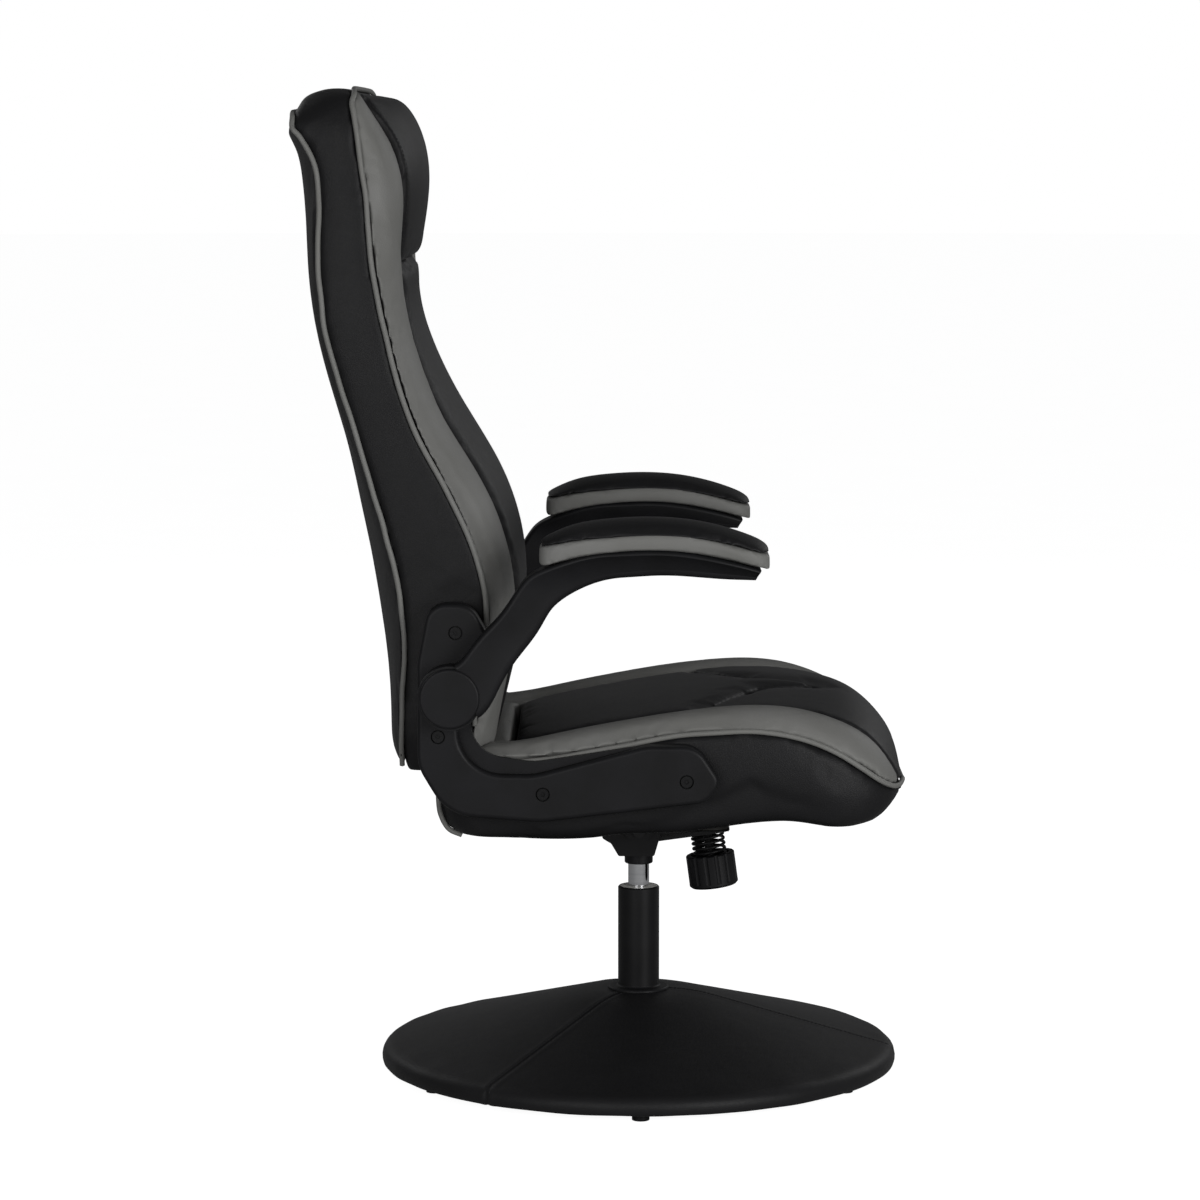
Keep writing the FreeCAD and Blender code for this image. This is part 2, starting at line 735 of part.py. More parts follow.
def tension_spring():
    """Coil spring round the stud, one unbroken wire of quarter-turn arcs."""
    mean = dim("spring_mean_radius")
    wire = dim("spring_wire")
    turns = dim("spring_turns")
    height = dim("spring_length") - wire
    steps = int(turns * 4)
    spots = []
    for index in range(2 * steps + 1):
        angle = math.pi / 4 * index
        spots.append(Vector(mean * math.cos(angle), mean * math.sin(angle), height * index / (2 * steps)))
    edges = []
    for index in range(0, 2 * steps, 2):
        edges.append(arc(spots[index], spots[index + 1], spots[index + 2]))
    path = Part.Wire(edges)
    section = Part.Wire([Part.makeCircle(wire / 2, spots[0], edges[0].tangentAt(edges[0].FirstParameter))])
    coil = path.makePipeShell([section], True, False)
    start = knob_spot(dim("knob_cup_depth") - 2 - dim("spring_length")) + knob_axis() * (wire / 2)
    coil.Placement = FreeCAD.Placement(start, Rotation(Z_AXIS, knob_axis()))
    pitch = height / turns
    fine = []
    for index in range(int(turns) * 72 + 1):
        angle = math.radians(5 * index)
        fine.append(Vector(mean * math.cos(angle), mean * math.sin(angle), pitch * index / 72))
    nearest = min(fine[i].distanceToPoint(fine[j]) for i in range(0, len(fine), 6)
                  for j in range(i + 36, min(i + 110, len(fine))))
    print("spring: least gap to itself", round(nearest - wire, 2), "mm")
    length = turns * math.hypot(2 * math.pi * mean, pitch)
    print("spring: volume ratio", round(coil.Volume / (length * math.pi * wire * wire / 4), 3))
    return solid_feature("tension_spring", coil)


def spring_washer():
    """Washer between the spring and the knob's cup; it slides but doesn't turn."""
    spot = knob_spot(dim("knob_cup_depth") - 2)
    washer = Part.makeCylinder(dim("knob_cup_radius") - 1.5, 2 - 0.3, spot, knob_axis())
    bore = Part.makeCylinder(dim("stud_radius") + 0.08, 4, spot, knob_axis())
    return solid_feature("spring_washer", washer.cut(bore))


def tension_knob():
    """Fluted knob with a deep cup for the spring, and the nut moulded into it."""
    body = doc.addObject("PartDesign::Body", "tension_knob")
    turned = revolve(body, "knob_turned", [
        ("Dims.knob_cup_radius", "0"),
        ("Dims.knob_radius - 1.2", "0"),
        ("Dims.knob_radius", "1.2"),
        ("Dims.knob_radius", "Dims.knob_height - 2.5"),
        ("Dims.knob_radius - 2.5", "Dims.knob_height"),
        ("0", "Dims.knob_height"),
        ("0", "Dims.knob_cup_depth"),
        ("Dims.knob_cup_radius", "Dims.knob_cup_depth"),
    ])
    sketch = body.newObject("Sketcher::SketchObject", "flute_outline")
    sketch.AttachmentSupport = [(origin_plane(body, "XY_Plane"), "")]
    sketch.MapMode = "FlatFace"
    flute_radius = 3.6
    flute_reach = dim("knob_radius") + 2.2
    sketch.addGeometry(Part.Circle(Vector(flute_reach, 0, 0), Z_AXIS, flute_radius))
    sketch.addConstraint(Sketcher.Constraint("PointOnObject", 0, 3, -1))
    place = sketch.addConstraint(Sketcher.Constraint("DistanceX", -1, 1, 0, 3, flute_reach))
    sketch.setExpression(f"Constraints[{place}]", "Dims.knob_radius + 2.2")
    sketch.addConstraint(Sketcher.Constraint("Radius", 0, flute_radius))
    pocket = body.newObject("PartDesign::Pocket", "flute")
    pocket.Profile = sketch
    pocket.Reversed = True
    pocket.setExpression("Length", "Dims.knob_height - 5")
    doc.recompute()
    pattern = body.newObject("PartDesign::PolarPattern", "flutes")
    pattern.Originals = [pocket]
    pattern.Axis = (sketch, ["N_Axis"])
    pattern.Angle = 360
    pattern.Occurrences = int(dim("knob_flutes"))
    body.Tip = pattern
    doc.recompute()
    if body.Shape.Volume >= turned.Shape.Volume:
        raise RuntimeError("the flutes cut nothing")
    form = body.Shape.copy()
    form.Placement = FreeCAD.Placement(knob_spot(0), Rotation(Z_AXIS, knob_axis()))
    nut_spot = knob_spot(dim("knob_cup_depth"))
    nut = hex_block(nut_spot, knob_axis(), 8.5, 10)
    bore_radius = dim("stud_radius") + dim("running_gap")
    bore_depth = dim("knob_height") - dim("knob_cup_depth") - 2
    bore = Part.makeCylinder(bore_radius, bore_depth, nut_spot, knob_axis())
    solid_feature("tension_knob_shell", form.cut(nut).cut(bore))
    return solid_feature("knob_nut", nut.cut(bore))


# The seat

# Each station: x, underside z, side seam (half width, z), border seam (half width, z),
# crown z at the middle, and how far the bolster's crest stands above its two seams.
SEAT_STATIONS = [
    (-230, 342, (200, 386), (150, 391), 393, 2),
    (-221, 326, (226, 397), (164, 402), 404, 3),
    (-203, 318, (243, 402), (174, 409), 411, 5),
    (-150, 315.5, (252, 405), (182, 413), 415, 8),
    (-88, 315.5, (254, 410), (186, 424), 426, 11),
    (-20, 319, (254, 422), (188, 437), 440, 12),
    (40, 322, (254, 433.5), (188, 446.5), 450, 12),
    (90, 328, (254, 438), (188, 453), 457, 13),
    (135, 333.5, (254, 438), (188, 455), 461, 15),
    (180, 333.5, (253, 430), (188, 452), 461, 16),
    (220, 329, (250, 413), (188, 443.5), 457.5, 15),
    (250, 331, (243, 394), (187, 431), 447, 13),
    (272, 338, (231, 378), (182, 414), 431, 10),
    (288, 352, (213, 369), (174, 393), 413, 7),
    (298, 360, (190, 367), (160, 377), 396, 3),
    (304, 364, (160, 368), (130, 371), 380, 1.5),
]
SEAT_CORNER = 16.0


def seat_section(station):
    """Closed cross-section of the whole cushion at one station."""
    x, low, (side_y, side_z), (seam_y, seam_z), crown, crest = station
    height = side_z - low
    corner = min(SEAT_CORNER, height * 0.4)
    foot_y = side_y - corner * 1.1

    def spot(y, z):
        return Vector(x, y, z)

    half = []
    bulge = min(3.0, height * 0.06)
    middle_y = (side_y + seam_y) / 2
    middle_z = (side_z + seam_z) / 2
    half.append((spot(foot_y, low), spot(side_y - corner * 0.3, low + corner * 0.32),
                 spot(side_y, low + corner)))
    half.append((spot(side_y, low + corner), spot(side_y + bulge, (low + corner + side_z) / 2),
                 spot(side_y, side_z)))
    half.append((spot(side_y, side_z), spot(middle_y + 4, middle_z + crest), spot(seam_y, seam_z)))
    edges = [arc(*piece) for piece in half]
    edges.append(arc(spot(seam_y, seam_z), spot(0, crown), spot(-seam_y, seam_z)))
    for start, middle, finish in reversed(half):
        flipped = [mirrored_spot(spot) for spot in (finish, middle, start)]
        edges.append(arc(*flipped))
    edges.append(line(spot(-foot_y, low), spot(foot_y, low)))
    return Part.Wire(edges)


def seat_inner_pieces():
    """Plywood board, its dust cover and the two side rails that the brackets bolt to."""
    under = dim("plate_under") + dim("top_plate_thick")
    rear = dim("seat_board_rear")
    front = dim("seat_board_front")
    half = dim("seat_board_half_width")
    cover_thick = dim("dust_cover_thick")
    cover = Part.makeBox(front - rear, 2 * half, cover_thick, Vector(rear, -half, under))
    board_low = under + cover_thick
    board = Part.makeBox(front - rear, 2 * half, dim("seat_board_thick"), Vector(rear, -half, board_low))
    upright = [edge for edge in board.Edges if abs(edge.tangentAt(0).z) > 0.99]
    board = board.makeFillet(20, upright)
    cover = cover.makeFillet(20, [edge for edge in cover.Edges if abs(edge.tangentAt(0).z) > 0.99])
    for spot in plate_bolt_spots():
        shank = Part.makeCylinder(3, 60, spot)
        cover = cover.cut(shank)
    board = board.cut(nodes["mechanism_bolts"].Shape)
    rail_low = board_low + dim("seat_board_thick")
    rail_outline = [
        (-160, rail_low, 2), (90, rail_low, 2), (90, rail_low + 58, 8), (20, rail_low + 58, 30),
        (-60, rail_low + 42, 30), (-160, rail_low + 40, 8),
    ]
    rail = slab(rounded_wire(rail_outline), half - dim("rail_width"), half)
    for bolt in bracket_bolts_one_side():
        rail = rail.cut(bolt)
    rails = [on_side(rail, side) for side in SIDES.values()]
    solid_feature("seat_dust_cover", cover)
    solid_feature("seat_board", board)
    solid_feature("seat_rails", Part.makeCompound(rails))


def seat_cushions():
    """Foam block with its boxing, the grey border in three parts and two black pads."""
    whole = loft([seat_section(station) for station in SEAT_STATIONS])
    lift = 1.5
    seam = [(station[0], station[2][1] + lift) for station in SEAT_STATIONS]
    seam = [(-260, seam[0][1] - 8)] + seam + [(335, seam[-1][1] - 1)]
    sky = [(335, 560), (-260, 560)]
    top_zone = beyond_curve(seam, sky, 300)
    well = [(x, z - dim("pad_depth")) for x, z in seam[4:-6]]
    well_reach = dim("seat_half_width") - 24
    well_zone = beyond_curve(well, [(well[-1][0], 560), (well[0][0], 560)], well_reach)
    top_zone = top_zone.fuse(well_zone)
    boxing = whole.cut(top_zone)
    for label in ("seat_board", "seat_dust_cover", "seat_rails"):
        boxing = boxing.cut(nodes[label].Shape)
    boxing = boxing.cut(bracket_bolt_group())
    turned_in = 22
    rear = dim("seat_board_rear") + turned_in
    front = dim("seat_board_front") - turned_in + 14
    reach = dim("seat_board_half_width") - turned_in
    under = Part.makeBox(front - rear, 2 * reach, 30, Vector(rear, -reach, dim("plate_under") - 26))
    boxing = boxing.cut(under).cut(nodes["tension_stud"].Shape)
    solid_feature("seat_boxing", largest(boxing))
    top = whole.common(top_zone)
    border = 187.5
    rear_edge = -147
    inner_outline = [(rear_edge, -border, 42), (400, -border, 1), (400, border, 1), (rear_edge, border, 42)]
    inner = Part.Face(rounded_wire(inner_outline))
    inner.rotate(ORIGIN, X_AXIS, -90)
    inner = inner.extrude(Z_AXIS * 300)
    inner.translate(Z_AXIS * 300)
    centre = top.common(inner)
    rim = top.cut(inner)
    shoulder, neck, waist, tip = (Vector(62, 192, 300), Vector(108, 98, 300),
                                  Vector(146, 32, 300), Vector(214, 0, 300))
    corner, front_corner = Vector(62, 230, 300), Vector(420, 230, 300)
    right = [mirrored_spot(spot) for spot in (shoulder, neck, waist, corner, front_corner)]
    tongue = Part.Wire([
        line(right[3], right[0]),
        arc(right[0], right[1], right[2]),
        line(right[2], tip),
        line(tip, waist),
        arc(waist, neck, shoulder),
        line(shoulder, corner),
        line(corner, front_corner),
        line(front_corner, right[4]),
        line(right[4], right[3]),
    ])
    front_zone = Part.Face(tongue).extrude(Z_AXIS * 300)
    solid_feature("seat_front_pad", largest(centre.common(front_zone)))
    solid_feature("seat_centre_pad", largest(centre.cut(front_zone)))
    rear_block = Part.makeBox(160, 330, 300, Vector(-270, -165, 300))
    solid_feature("seat_rear_border", largest(rim.common(rear_block)))
    rest = rim.cut(rear_block)
    for name, side in SIDES.items():
        half_space = Part.makeBox(800, 400, 400, Vector(-400, 0 if side == LEFT else -400, 250))
        solid_feature("seat_bolster_" + name, largest(rest.common(half_space)))
    return whole


def largest(shape):
    """The main solid of a boolean's result, without crumbs."""
    return max(shape.Solids, key=lambda solid: solid.Volume)


# The back

# Each station: rear middle (x, z), lean of the section in degrees, then distances from the rear
# to the rear piping, front piping, border seam and front middle, and the half widths of the
# rear piping, front piping and border seam.
BACK_STATIONS = [
    ((-284, 390), 0, (15, 84, 106, 108), (226, 236, 150)),
    ((-288, 440), 2, (16, 98, 122, 125), (236, 245, 158)),
    ((-292, 500), 4, (23, 113, 140, 145), (238, 248, 160)),
    ((-300.5, 560), 6, (32, 129, 157, 163.5), (239, 248, 158)),
    ((-310.5, 620), 8, (34, 127, 159, 169.5), (240, 248, 154)),
    ((-324.5, 690), 11, (29, 109, 143, 158.5), (240, 248, 150)),
    ((-339, 760), 13, (21, 87, 116, 132.5), (239, 248, 148)),
    ((-359, 830), 14, (19, 84, 106, 117.5), (238, 247, 150)),
    ((-375, 900), 14, (19, 84, 106, 115), (235, 244, 154)),
    ((-381.5, 955), 13, (21, 81.5, 111, 125.5), (232, 240, 158)),
    ((-384, 1010), 13, (23.5, 79, 119, 136.5), (229, 236, 162)),
    ((-388.5, 1060), 16, (26, 77, 117, 138), (225, 231, 166)),
    ((-398, 1098), 22, (18, 82, 101, 124), (220, 225, 172)),
    ((-403.5, 1111), 21.5, (14, 85, 97, 114), (215, 218, 176)),
    ((-402, 1124), 19, (12, 84, 89, 97), (206, 208, 172)),
    ((-386, 1147), 9, (6, 62, 64, 67), (182, 184, 156)),
]
HEADREST_STATION = 9
REAR_TOP_STATION = 14


def back_spot(station, distance, y):
    """A point on a station's section line, out to one side."""
    (x, z), lean, unused_distances, unused_widths = station
    angle = math.radians(lean)
    return Vector(x + distance * math.cos(angle), y, z + distance * math.sin(angle))


def back_section(station):
    """Closed cross-section of the whole back at one station."""
    (rear_pipe, front_pipe, seam, front), (rear_half, front_half, seam_half) = station[2], station[3]
    side_bulge = 3.0
    bolster_crown = min(9.0, 0.4 * (seam - front_pipe + 12))

    def spot(distance, y):
        return back_spot(station, distance, y)

    side_middle = ((rear_pipe + front_pipe) / 2, (rear_half + front_half) / 2 + side_bulge)
    bolster_middle = ((front_pipe + seam) / 2 + bolster_crown, (front_half + seam_half) / 2 + 4)
    edges = [arc(spot(rear_pipe, -rear_half), spot(0, 0), spot(rear_pipe, rear_half))]
    edges.append(arc(spot(rear_pipe, rear_half), spot(*side_middle), spot(front_pipe, front_half)))
    edges.append(arc(spot(front_pipe, front_half), spot(*bolster_middle), spot(seam, seam_half)))
    edges.append(arc(spot(seam, seam_half), spot(front, 0), spot(seam, -seam_half)))
    right_bolster = (bolster_middle[0], -bolster_middle[1])
    right_side = (side_middle[0], -side_middle[1])
    edges.append(arc(spot(seam, -seam_half), spot(*right_bolster), spot(front_pipe, -front_half)))
    edges.append(arc(spot(front_pipe, -front_half), spot(*right_side), spot(rear_pipe, -rear_half)))
    return Part.Wire(edges)


def back_curve(which, shift):
    """The side view of one seam line of the back, moved along the sections by shift."""
    spots = []
    for station in BACK_STATIONS:
        place = back_spot(station, station[2][which] + shift, 0)
        spots.append((place.x, place.z))
    first = spots[0]
    last = spots[-1]
    return [(first[0], first[1] - 30)] + spots + [(last[0] + 2, last[1] + 40)]


def back_inner_pieces():
    """Bent plywood board and the two posts that the brackets bolt to."""
    start = 44
    thick = dim("back_board_thick")
    near = [back_spot(station, start, 0) for station in BACK_STATIONS[:-3]]
    far = [back_spot(station, start + thick, 0) for station in BACK_STATIONS[:-3]]
    for row in (near, far):
        row[0] = row[0] + Z_AXIS * 24
    outline = Part.makePolygon(near + far[::-1] + near[:1])
    half = dim("back_board_half_width")
    solid_feature("back_board", slab(outline, -half, half))
    post_outline = [(-236, 412, 3), (-206, 412, 3), (-196, 600, 3), (-240, 600, 3)]
    post = slab(rounded_wire(post_outline), half, half + 26)
    for bolt in bracket_bolts_one_side():
        post = post.cut(bolt)
    posts = [on_side(post, side) for side in SIDES.values()]
    solid_feature("back_posts", Part.makeCompound(posts))


def back_cushions(seat_form):
    """Rear panel, boxing, bolsters, centre pad and headrest, cut from one form behind the seat."""
    whole = loft([back_section(station) for station in BACK_STATIONS])
    reach = 300
    rear_line = back_curve(0, 1.5)[:REAR_TOP_STATION + 2]
    top_of_rear = rear_line[-1][1] + 2
    behind_rear = beyond_curve(rear_line, [(-600, top_of_rear), (-600, 300)], reach)
    behind_front = beyond_curve(back_curve(1, 1.5), [(-600, 1230), (-600, 300)], reach)
    solid_feature("back_rear_panel", largest(whole.common(behind_rear)))
    boxing = whole.common(behind_front).cut(behind_rear)
    for label in ("back_board", "back_posts"):
        boxing = boxing.cut(nodes[label].Shape)
    boxing = boxing.cut(bracket_bolt_group())
    solid_feature("back_boxing", largest(boxing.cut(seat_form)))
    front = whole.cut(behind_front)
    for label in ("back_board", "back_posts"):
        front = front.cut(nodes[label].Shape)
    seam = []
    for station in BACK_STATIONS[:REAR_TOP_STATION]:
        place = back_spot(station, station[2][2], station[3][2] + 1.5)
        seam.append(Vector(0, place.y, place.z))
    seam = [Vector(0, seam[0].y, seam[0].z - 40)] + seam + [Vector(0, seam[-1].y - 4, seam[-1].z + 80)]
    right_side = [mirrored_spot(spot) for spot in seam]
    seam_left = Part.BSplineCurve()
    seam_left.interpolate(seam)
    seam_right = Part.BSplineCurve()
    seam_right.interpolate(right_side)
    panel = Part.Wire([seam_left.toShape(), line(seam[-1], right_side[-1]),
                       seam_right.toShape(), line(right_side[0], seam[0])])
    middle_zone = Part.Face(panel).extrude(X_AXIS * -500)
    middle = front.common(middle_zone)
    outer = front.cut(middle_zone)
    split = BACK_STATIONS[HEADREST_STATION]
    low = back_spot(split, 0, 0) - Z_AXIS * 16
    angle = split[1]
    above = Part.makeBox(600, 600, 500, Vector(-150, -300, 0))
    above.rotate(ORIGIN, Y_AXIS, -angle)
    above.translate(low)
    solid_feature("headrest_pad", largest(middle.common(above)))
    solid_feature("back_centre_pad", largest(middle.cut(above).cut(seat_form)))
    for name, side in SIDES.items():
        half_space = Part.makeBox(800, 400, 1200, Vector(-700, 0 if side == LEFT else -400, 200))
        solid_feature("back_bolster_" + name, largest(outer.common(half_space).cut(seat_form)))


def sewn_piping(label, lines, panels):
    """Piping along seam lines, and the groove that it presses into the panels beside it."""
    radius = dim("piping_radius")
    solid_feature(label, Part.makeCompound([tube_along(spots, radius) for spots in lines]))
    for spots in lines:
        groove = tube_along(spots, radius + dim("groove_gap"))
        for panel in panels:
            if nodes[panel].Shape.BoundBox.intersect(groove.BoundBox):
                nodes[panel].Shape = largest(nodes[panel].Shape.cut(groove))


def back_piping():
    """Grey piping round the front and rear edges of the back."""
    out = (dim("piping_radius") + dim("piping_clearance")) * 0.9
    panels = ["back_boxing", "back_rear_panel", "headrest_pad", "back_bolster_left", "back_bolster_right"]
    for label, which, ahead, first, top in (("back_front_piping", 1, out, 1, len(BACK_STATIONS)),
                                            ("back_rear_piping", 0, -out, 0, REAR_TOP_STATION + 1)):
        left = []
        for station in BACK_STATIONS[first:top - 1]:
            distance = station[2][which] + ahead
            left.append(back_spot(station, distance, station[3][which] + out))
        station = BACK_STATIONS[top - 1]
        crest = back_spot(station, station[2][which] + ahead, 0) + Z_AXIS * (out + 1.4)
        left.append(Vector(crest.x, station[3][which] - 4, crest.z - 3))
        left.append(Vector(crest.x, 60, crest.z))
        right = [mirrored_spot(spot) for spot in left]
        sewn_piping(label, [left + right[::-1]], panels)


def seat_piping():
    """Grey piping down the seat's rear corners and along the side seams to the front."""
    out = (dim("piping_radius") + dim("piping_clearance")) * 0.9
    lines = []
    for side in SIDES.values():
        spots = []
        for x, y, z in ((-207, 216, 313), (-221, 217, 322), (-231, 214, 338), (-233.5, 208, 356),
                        (-231, 212, 378), (-225, 226, 397)):
            spots.append(Vector(x - out, side * (y + 2), z))
        for x, unused_low, (half, z), unused_seam, unused_crown, unused_crest in SEAT_STATIONS[2:]:
            spots.append(Vector(x, side * (half + 1.8), z + 3.2))
        lines.append(spots)
    panels = ["seat_boxing", "seat_front_pad", "seat_bolster_left", "seat_bolster_right", "back_boxing",
              "seat_rear_border", "back_rear_panel"]
    sewn_piping("seat_piping", lines, panels)


# Side brackets, arms and their pins


BRACKET_OUTLINE = [
    (-237, 587, 24), (-190, 587, 27), (-168, 548, 20), (-176, 500, 20), (-205, 456, 14),
    (-204, 396, 50), (-120, 394, 90), (6, 427, 60), (63, 427, 32), (90, 386, 15), (72, 363, 22),
    (-112, 341, 120), (-217, 349, 58), (-250, 404, 50), (-250, 520, 60),
]
LEDGE_OUTLINE = [
    (-236, 500, 20), (-192, 500, 16), (-190, 418, 40), (-121, 407, 70), (-60, 416, 60),
    (10, 427, 20), (10, 380, 20), (-200, 370, 30),
]
BRACKET_BOLTS = [(-207, 555), (-227, 438), (-110, 373), (51, 387)]
BOLT_REACH = 62.0


def bracket_bolts_one_side():
    """The four socket-head bolts of the left bracket, as separate solids."""
    bolts = []
    face = dim("bracket_inner") + dim("bracket_thick") - dim("bolt_recess_depth")
    for x, z in BRACKET_BOLTS:
        head = Part.makeCylinder(dim("bolt_recess_radius") - 1.5, 3.5, Vector(x, face, z), Y_AXIS)
        socket = hex_block(Vector(x, face + 1.5, z), Y_AXIS, 2.5, 4)
        shank_end = Vector(x, face - BOLT_REACH, z)
        shank = Part.makeCylinder(dim("bolt_shank_radius"), BOLT_REACH, shank_end, Y_AXIS)
        bolts.append(head.cut(socket).fuse(shank))
    return bolts


def bracket_bolt_group():
    """All eight bolts as one shape, to cut their holes."""
    bolts = bracket_bolts_one_side()
    return Part.makeCompound(bolts + [mirrored(bolt) for bolt in bolts])


def side_bracket(name, side):
    """Moulded L bracket that joins seat to back and carries the arm's hub."""
    inner = dim("bracket_inner")
    outer = inner + dim("bracket_thick")
    body = slab(rounded_wire(BRACKET_OUTLINE), inner, outer)
    hub_spot = Vector(dim("hub_x"), inner, dim("hub_z"))
    boss = Part.makeCylinder(dim("hub_radius"), dim("bracket_thick"), hub_spot, Y_AXIS)
    body = body.fuse(boss).removeSplitter()
    rim = [edge for edge in body.Edges if edge.BoundBox.YMin > outer - 0.01]
    body = body.makeFillet(dim("bracket_edge"), rim)
    ledge = slab(rounded_wire(LEDGE_OUTLINE), inner, inner + dim("ledge_thick"))
    body = body.fuse(ledge)
    face = outer - dim("bolt_recess_depth")
    for x, z in BRACKET_BOLTS:
        recess = Part.makeCylinder(dim("bolt_recess_radius"), 20, Vector(x, face, z), Y_AXIS)
        body = body.cut(recess)
    for bolt in bracket_bolts_one_side():
        body = body.cut(bolt)
    pin = Part.makeCylinder(dim("hub_pin_radius"), dim("bracket_thick"), hub_spot, Y_AXIS)
    body = body.cut(pin)
    return solid_feature("side_bracket_" + name, on_side(body, side))


def hub_pins():
    """Pins fixed in the brackets that the arms turn on."""
    length = dim("bracket_thick") + dim("hub_gap") + dim("arm_hub_thick") - 4
    spot = Vector(dim("hub_x"), dim("bracket_inner"), dim("hub_z"))
    pin = Part.makeCylinder(dim("hub_pin_radius"), length, spot, Y_AXIS)
    return solid_feature("hub_pins", Part.makeCompound([pin, mirrored(pin)]))


# Each arm station: upper edge (x, z), lower edge (x, z), half width at the top and at the bottom.
ARM_STATIONS = [
    ((-207, 523), (-181, 463), 13, 13),
    ((-184, 548), (-152, 507), 13, 13),
    ((-163, 571), (-129, 540), 14, 13),
    ((-141, 601), (-109, 569), 16, 13),
    ((-120, 625), (-92, 592), 19, 13),
    ((-100, 634), (-72, 605), 23, 13),
    ((-74, 643), (-48, 615), 27, 14),
    ((-36, 650), (-20, 620), 30, 15),
    ((6, 652), (12, 622), 31, 15),
    ((54, 649), (54, 621), 31, 15),
    ((98, 640), (94, 618), 29, 14),
    ((132, 629), (126, 617), 24, 12),
]


def arm_section(station):
    """Closed cross-section of the arm, wide at the top and narrow below, hollow-sided."""
    (upper_x, upper_z), (lower_x, lower_z), top_half, low_half = station
    upper = Vector(upper_x, 0, upper_z)
    lower = Vector(lower_x, 0, lower_z)
    span = (upper - lower).Length
    up = (upper - lower).normalize()
    centre_y = dim("arm_centre") + 1.5
    top_round = min(5.0, span * 0.2)
    low_round = min(7.0, span * 0.28)

    def spot(across, height):
        return lower + up * height + Y_AXIS * (centre_y + across)

    waist = (top_half * 0.3 + low_half * 0.7) - 0.8
    right = [
        (spot(top_half - top_round, span), spot(top_half - top_round * 0.3, span - top_round * 0.3),
         spot(top_half, span - top_round)),
        (spot(top_half, span - top_round), spot(waist, span * 0.45), spot(low_half, low_round)),
        (spot(low_half, low_round), spot(low_half - low_round * 0.3, low_round * 0.3),
         spot(low_half - low_round, 0)),
    ]
    edges = [arc(*piece) for piece in right]
    edges.append(line(right[-1][2], spot(-(low_half - low_round), 0)))
    for start, middle, finish in reversed(right):
        flipped = [Vector(p.x, 2 * centre_y - p.y, p.z) for p in (finish, middle, start)]
        edges.append(arc(*flipped))
    edges.append(line(spot(-(top_half - top_round), span), spot(top_half - top_round, span)))
    return Part.Wire(edges)


PAD_STATIONS = [
    # x, underside z, band top z, crown z, half width
    (-113, 635, 655, 657, 20),
    (-109, 633, 656, 661, 28),
    (-98, 636.5, 658, 667, 34),
    (-78, 643, 662, 675, 37),
    (-40, 650, 666.5, 682, 38),
    (5, 653, 669.5, 684.5, 38),
    (50, 651, 667.5, 682, 38),
    (90, 643.5, 660, 674, 37.5),
    (118, 636, 652.5, 665, 35.5),
    (134, 631, 648, 657.5, 30),
    (141, 629, 646, 651, 22),
]


def pad_section(x, low, high, half, bulge):
    """Closed section of a padded strip: flat below, drawn at the sides, crowned by bulge."""
    centre_y = dim("arm_centre")

    def spot(y, z):
        return Vector(x, centre_y + y, z)

    side = 1.6
    top = high - bulge
    return Part.Wire([
        line(spot(-half, low), spot(half, low)),
        arc(spot(half, low), spot(half + side, (low + top) / 2), spot(half, top)),
        arc(spot(half, top), spot(0, high), spot(-half, top)),
        arc(spot(-half, top), spot(-half - side, (low + top) / 2), spot(-half, low)),
    ])


def arm_parts(name, side):
    """One flip-up arm with its padded rest, hub cap and screws."""
    gap = dim("hub_gap")
    hub_inner = dim("bracket_inner") + dim("bracket_thick") + gap
    hub_spot = Vector(dim("hub_x"), hub_inner, dim("hub_z"))
    beam = loft([arm_section(station) for station in ARM_STATIONS])
    hub = Part.makeCylinder(dim("hub_radius"), dim("arm_hub_thick"), hub_spot, Y_AXIS)
    arm = beam.fuse(hub)
    beam_cut = Part.makeBox(600, 40, 600, Vector(-400, hub_inner - 40, 300))
    arm = arm.cut(beam_cut.common(Part.makeCylinder(60, 40, hub_spot - Y_AXIS * 40, Y_AXIS)))
    bore = Part.makeCylinder(dim("hub_pin_radius") + dim("running_gap"), dim("arm_hub_thick") - 3,
                             hub_spot, Y_AXIS)
    arm = arm.cut(bore)
    cap_spot = hub_spot + Y_AXIS * dim("arm_hub_thick")
    cap_flange = Part.makeCylinder(dim("hub_cap_radius"), dim("hub_cap_thick"), cap_spot, Y_AXIS)
    outer_rim = [edge for edge in cap_flange.Edges
                 if edge.BoundBox.YMin > cap_spot.y + dim("hub_cap_thick") - 0.01]
    cap = cap_flange.makeFillet(3, outer_rim)
    arm = arm.cut(cap_flange)
    band = loft([pad_section(x, low, high, half, 0.8) for x, low, high, unused_crown, half in PAD_STATIONS])
    rest = loft([pad_section(x, high - 3, crown, half - 0.5, (crown - high) * 0.86)
                 for x, unused_low, high, crown, half in PAD_STATIONS])
    rest = largest(rest.cut(band))
    arm = arm.cut(band)
    screws = []
    for x, z in ((-60, 628), (84, 630)):
        spot = Vector(x, dim("arm_centre") + 1.5, z)
        head = Part.makeCylinder(4.5, 3, spot)
        shank = Part.makeCylinder(2.2, 26, spot)
        screws.append(head.fuse(shank))
        arm = arm.cut(Part.makeCylinder(4.5, 30, spot - Z_AXIS * 27)).cut(screws[-1])
        band = band.cut(screws[-1])
        rest = rest.cut(screws[-1])
    solid_feature("arm_" + name, on_side(largest(arm), side))
    solid_feature("hub_cap_" + name, on_side(cap, side))
    solid_feature("arm_band_" + name, on_side(largest(band), side))
    solid_feature("arm_pad_" + name, on_side(largest(rest), side))
    screw_group = Part.makeCompound([on_side(screw, side) for screw in screws])
    solid_feature("arm_screws_" + name, screw_group)


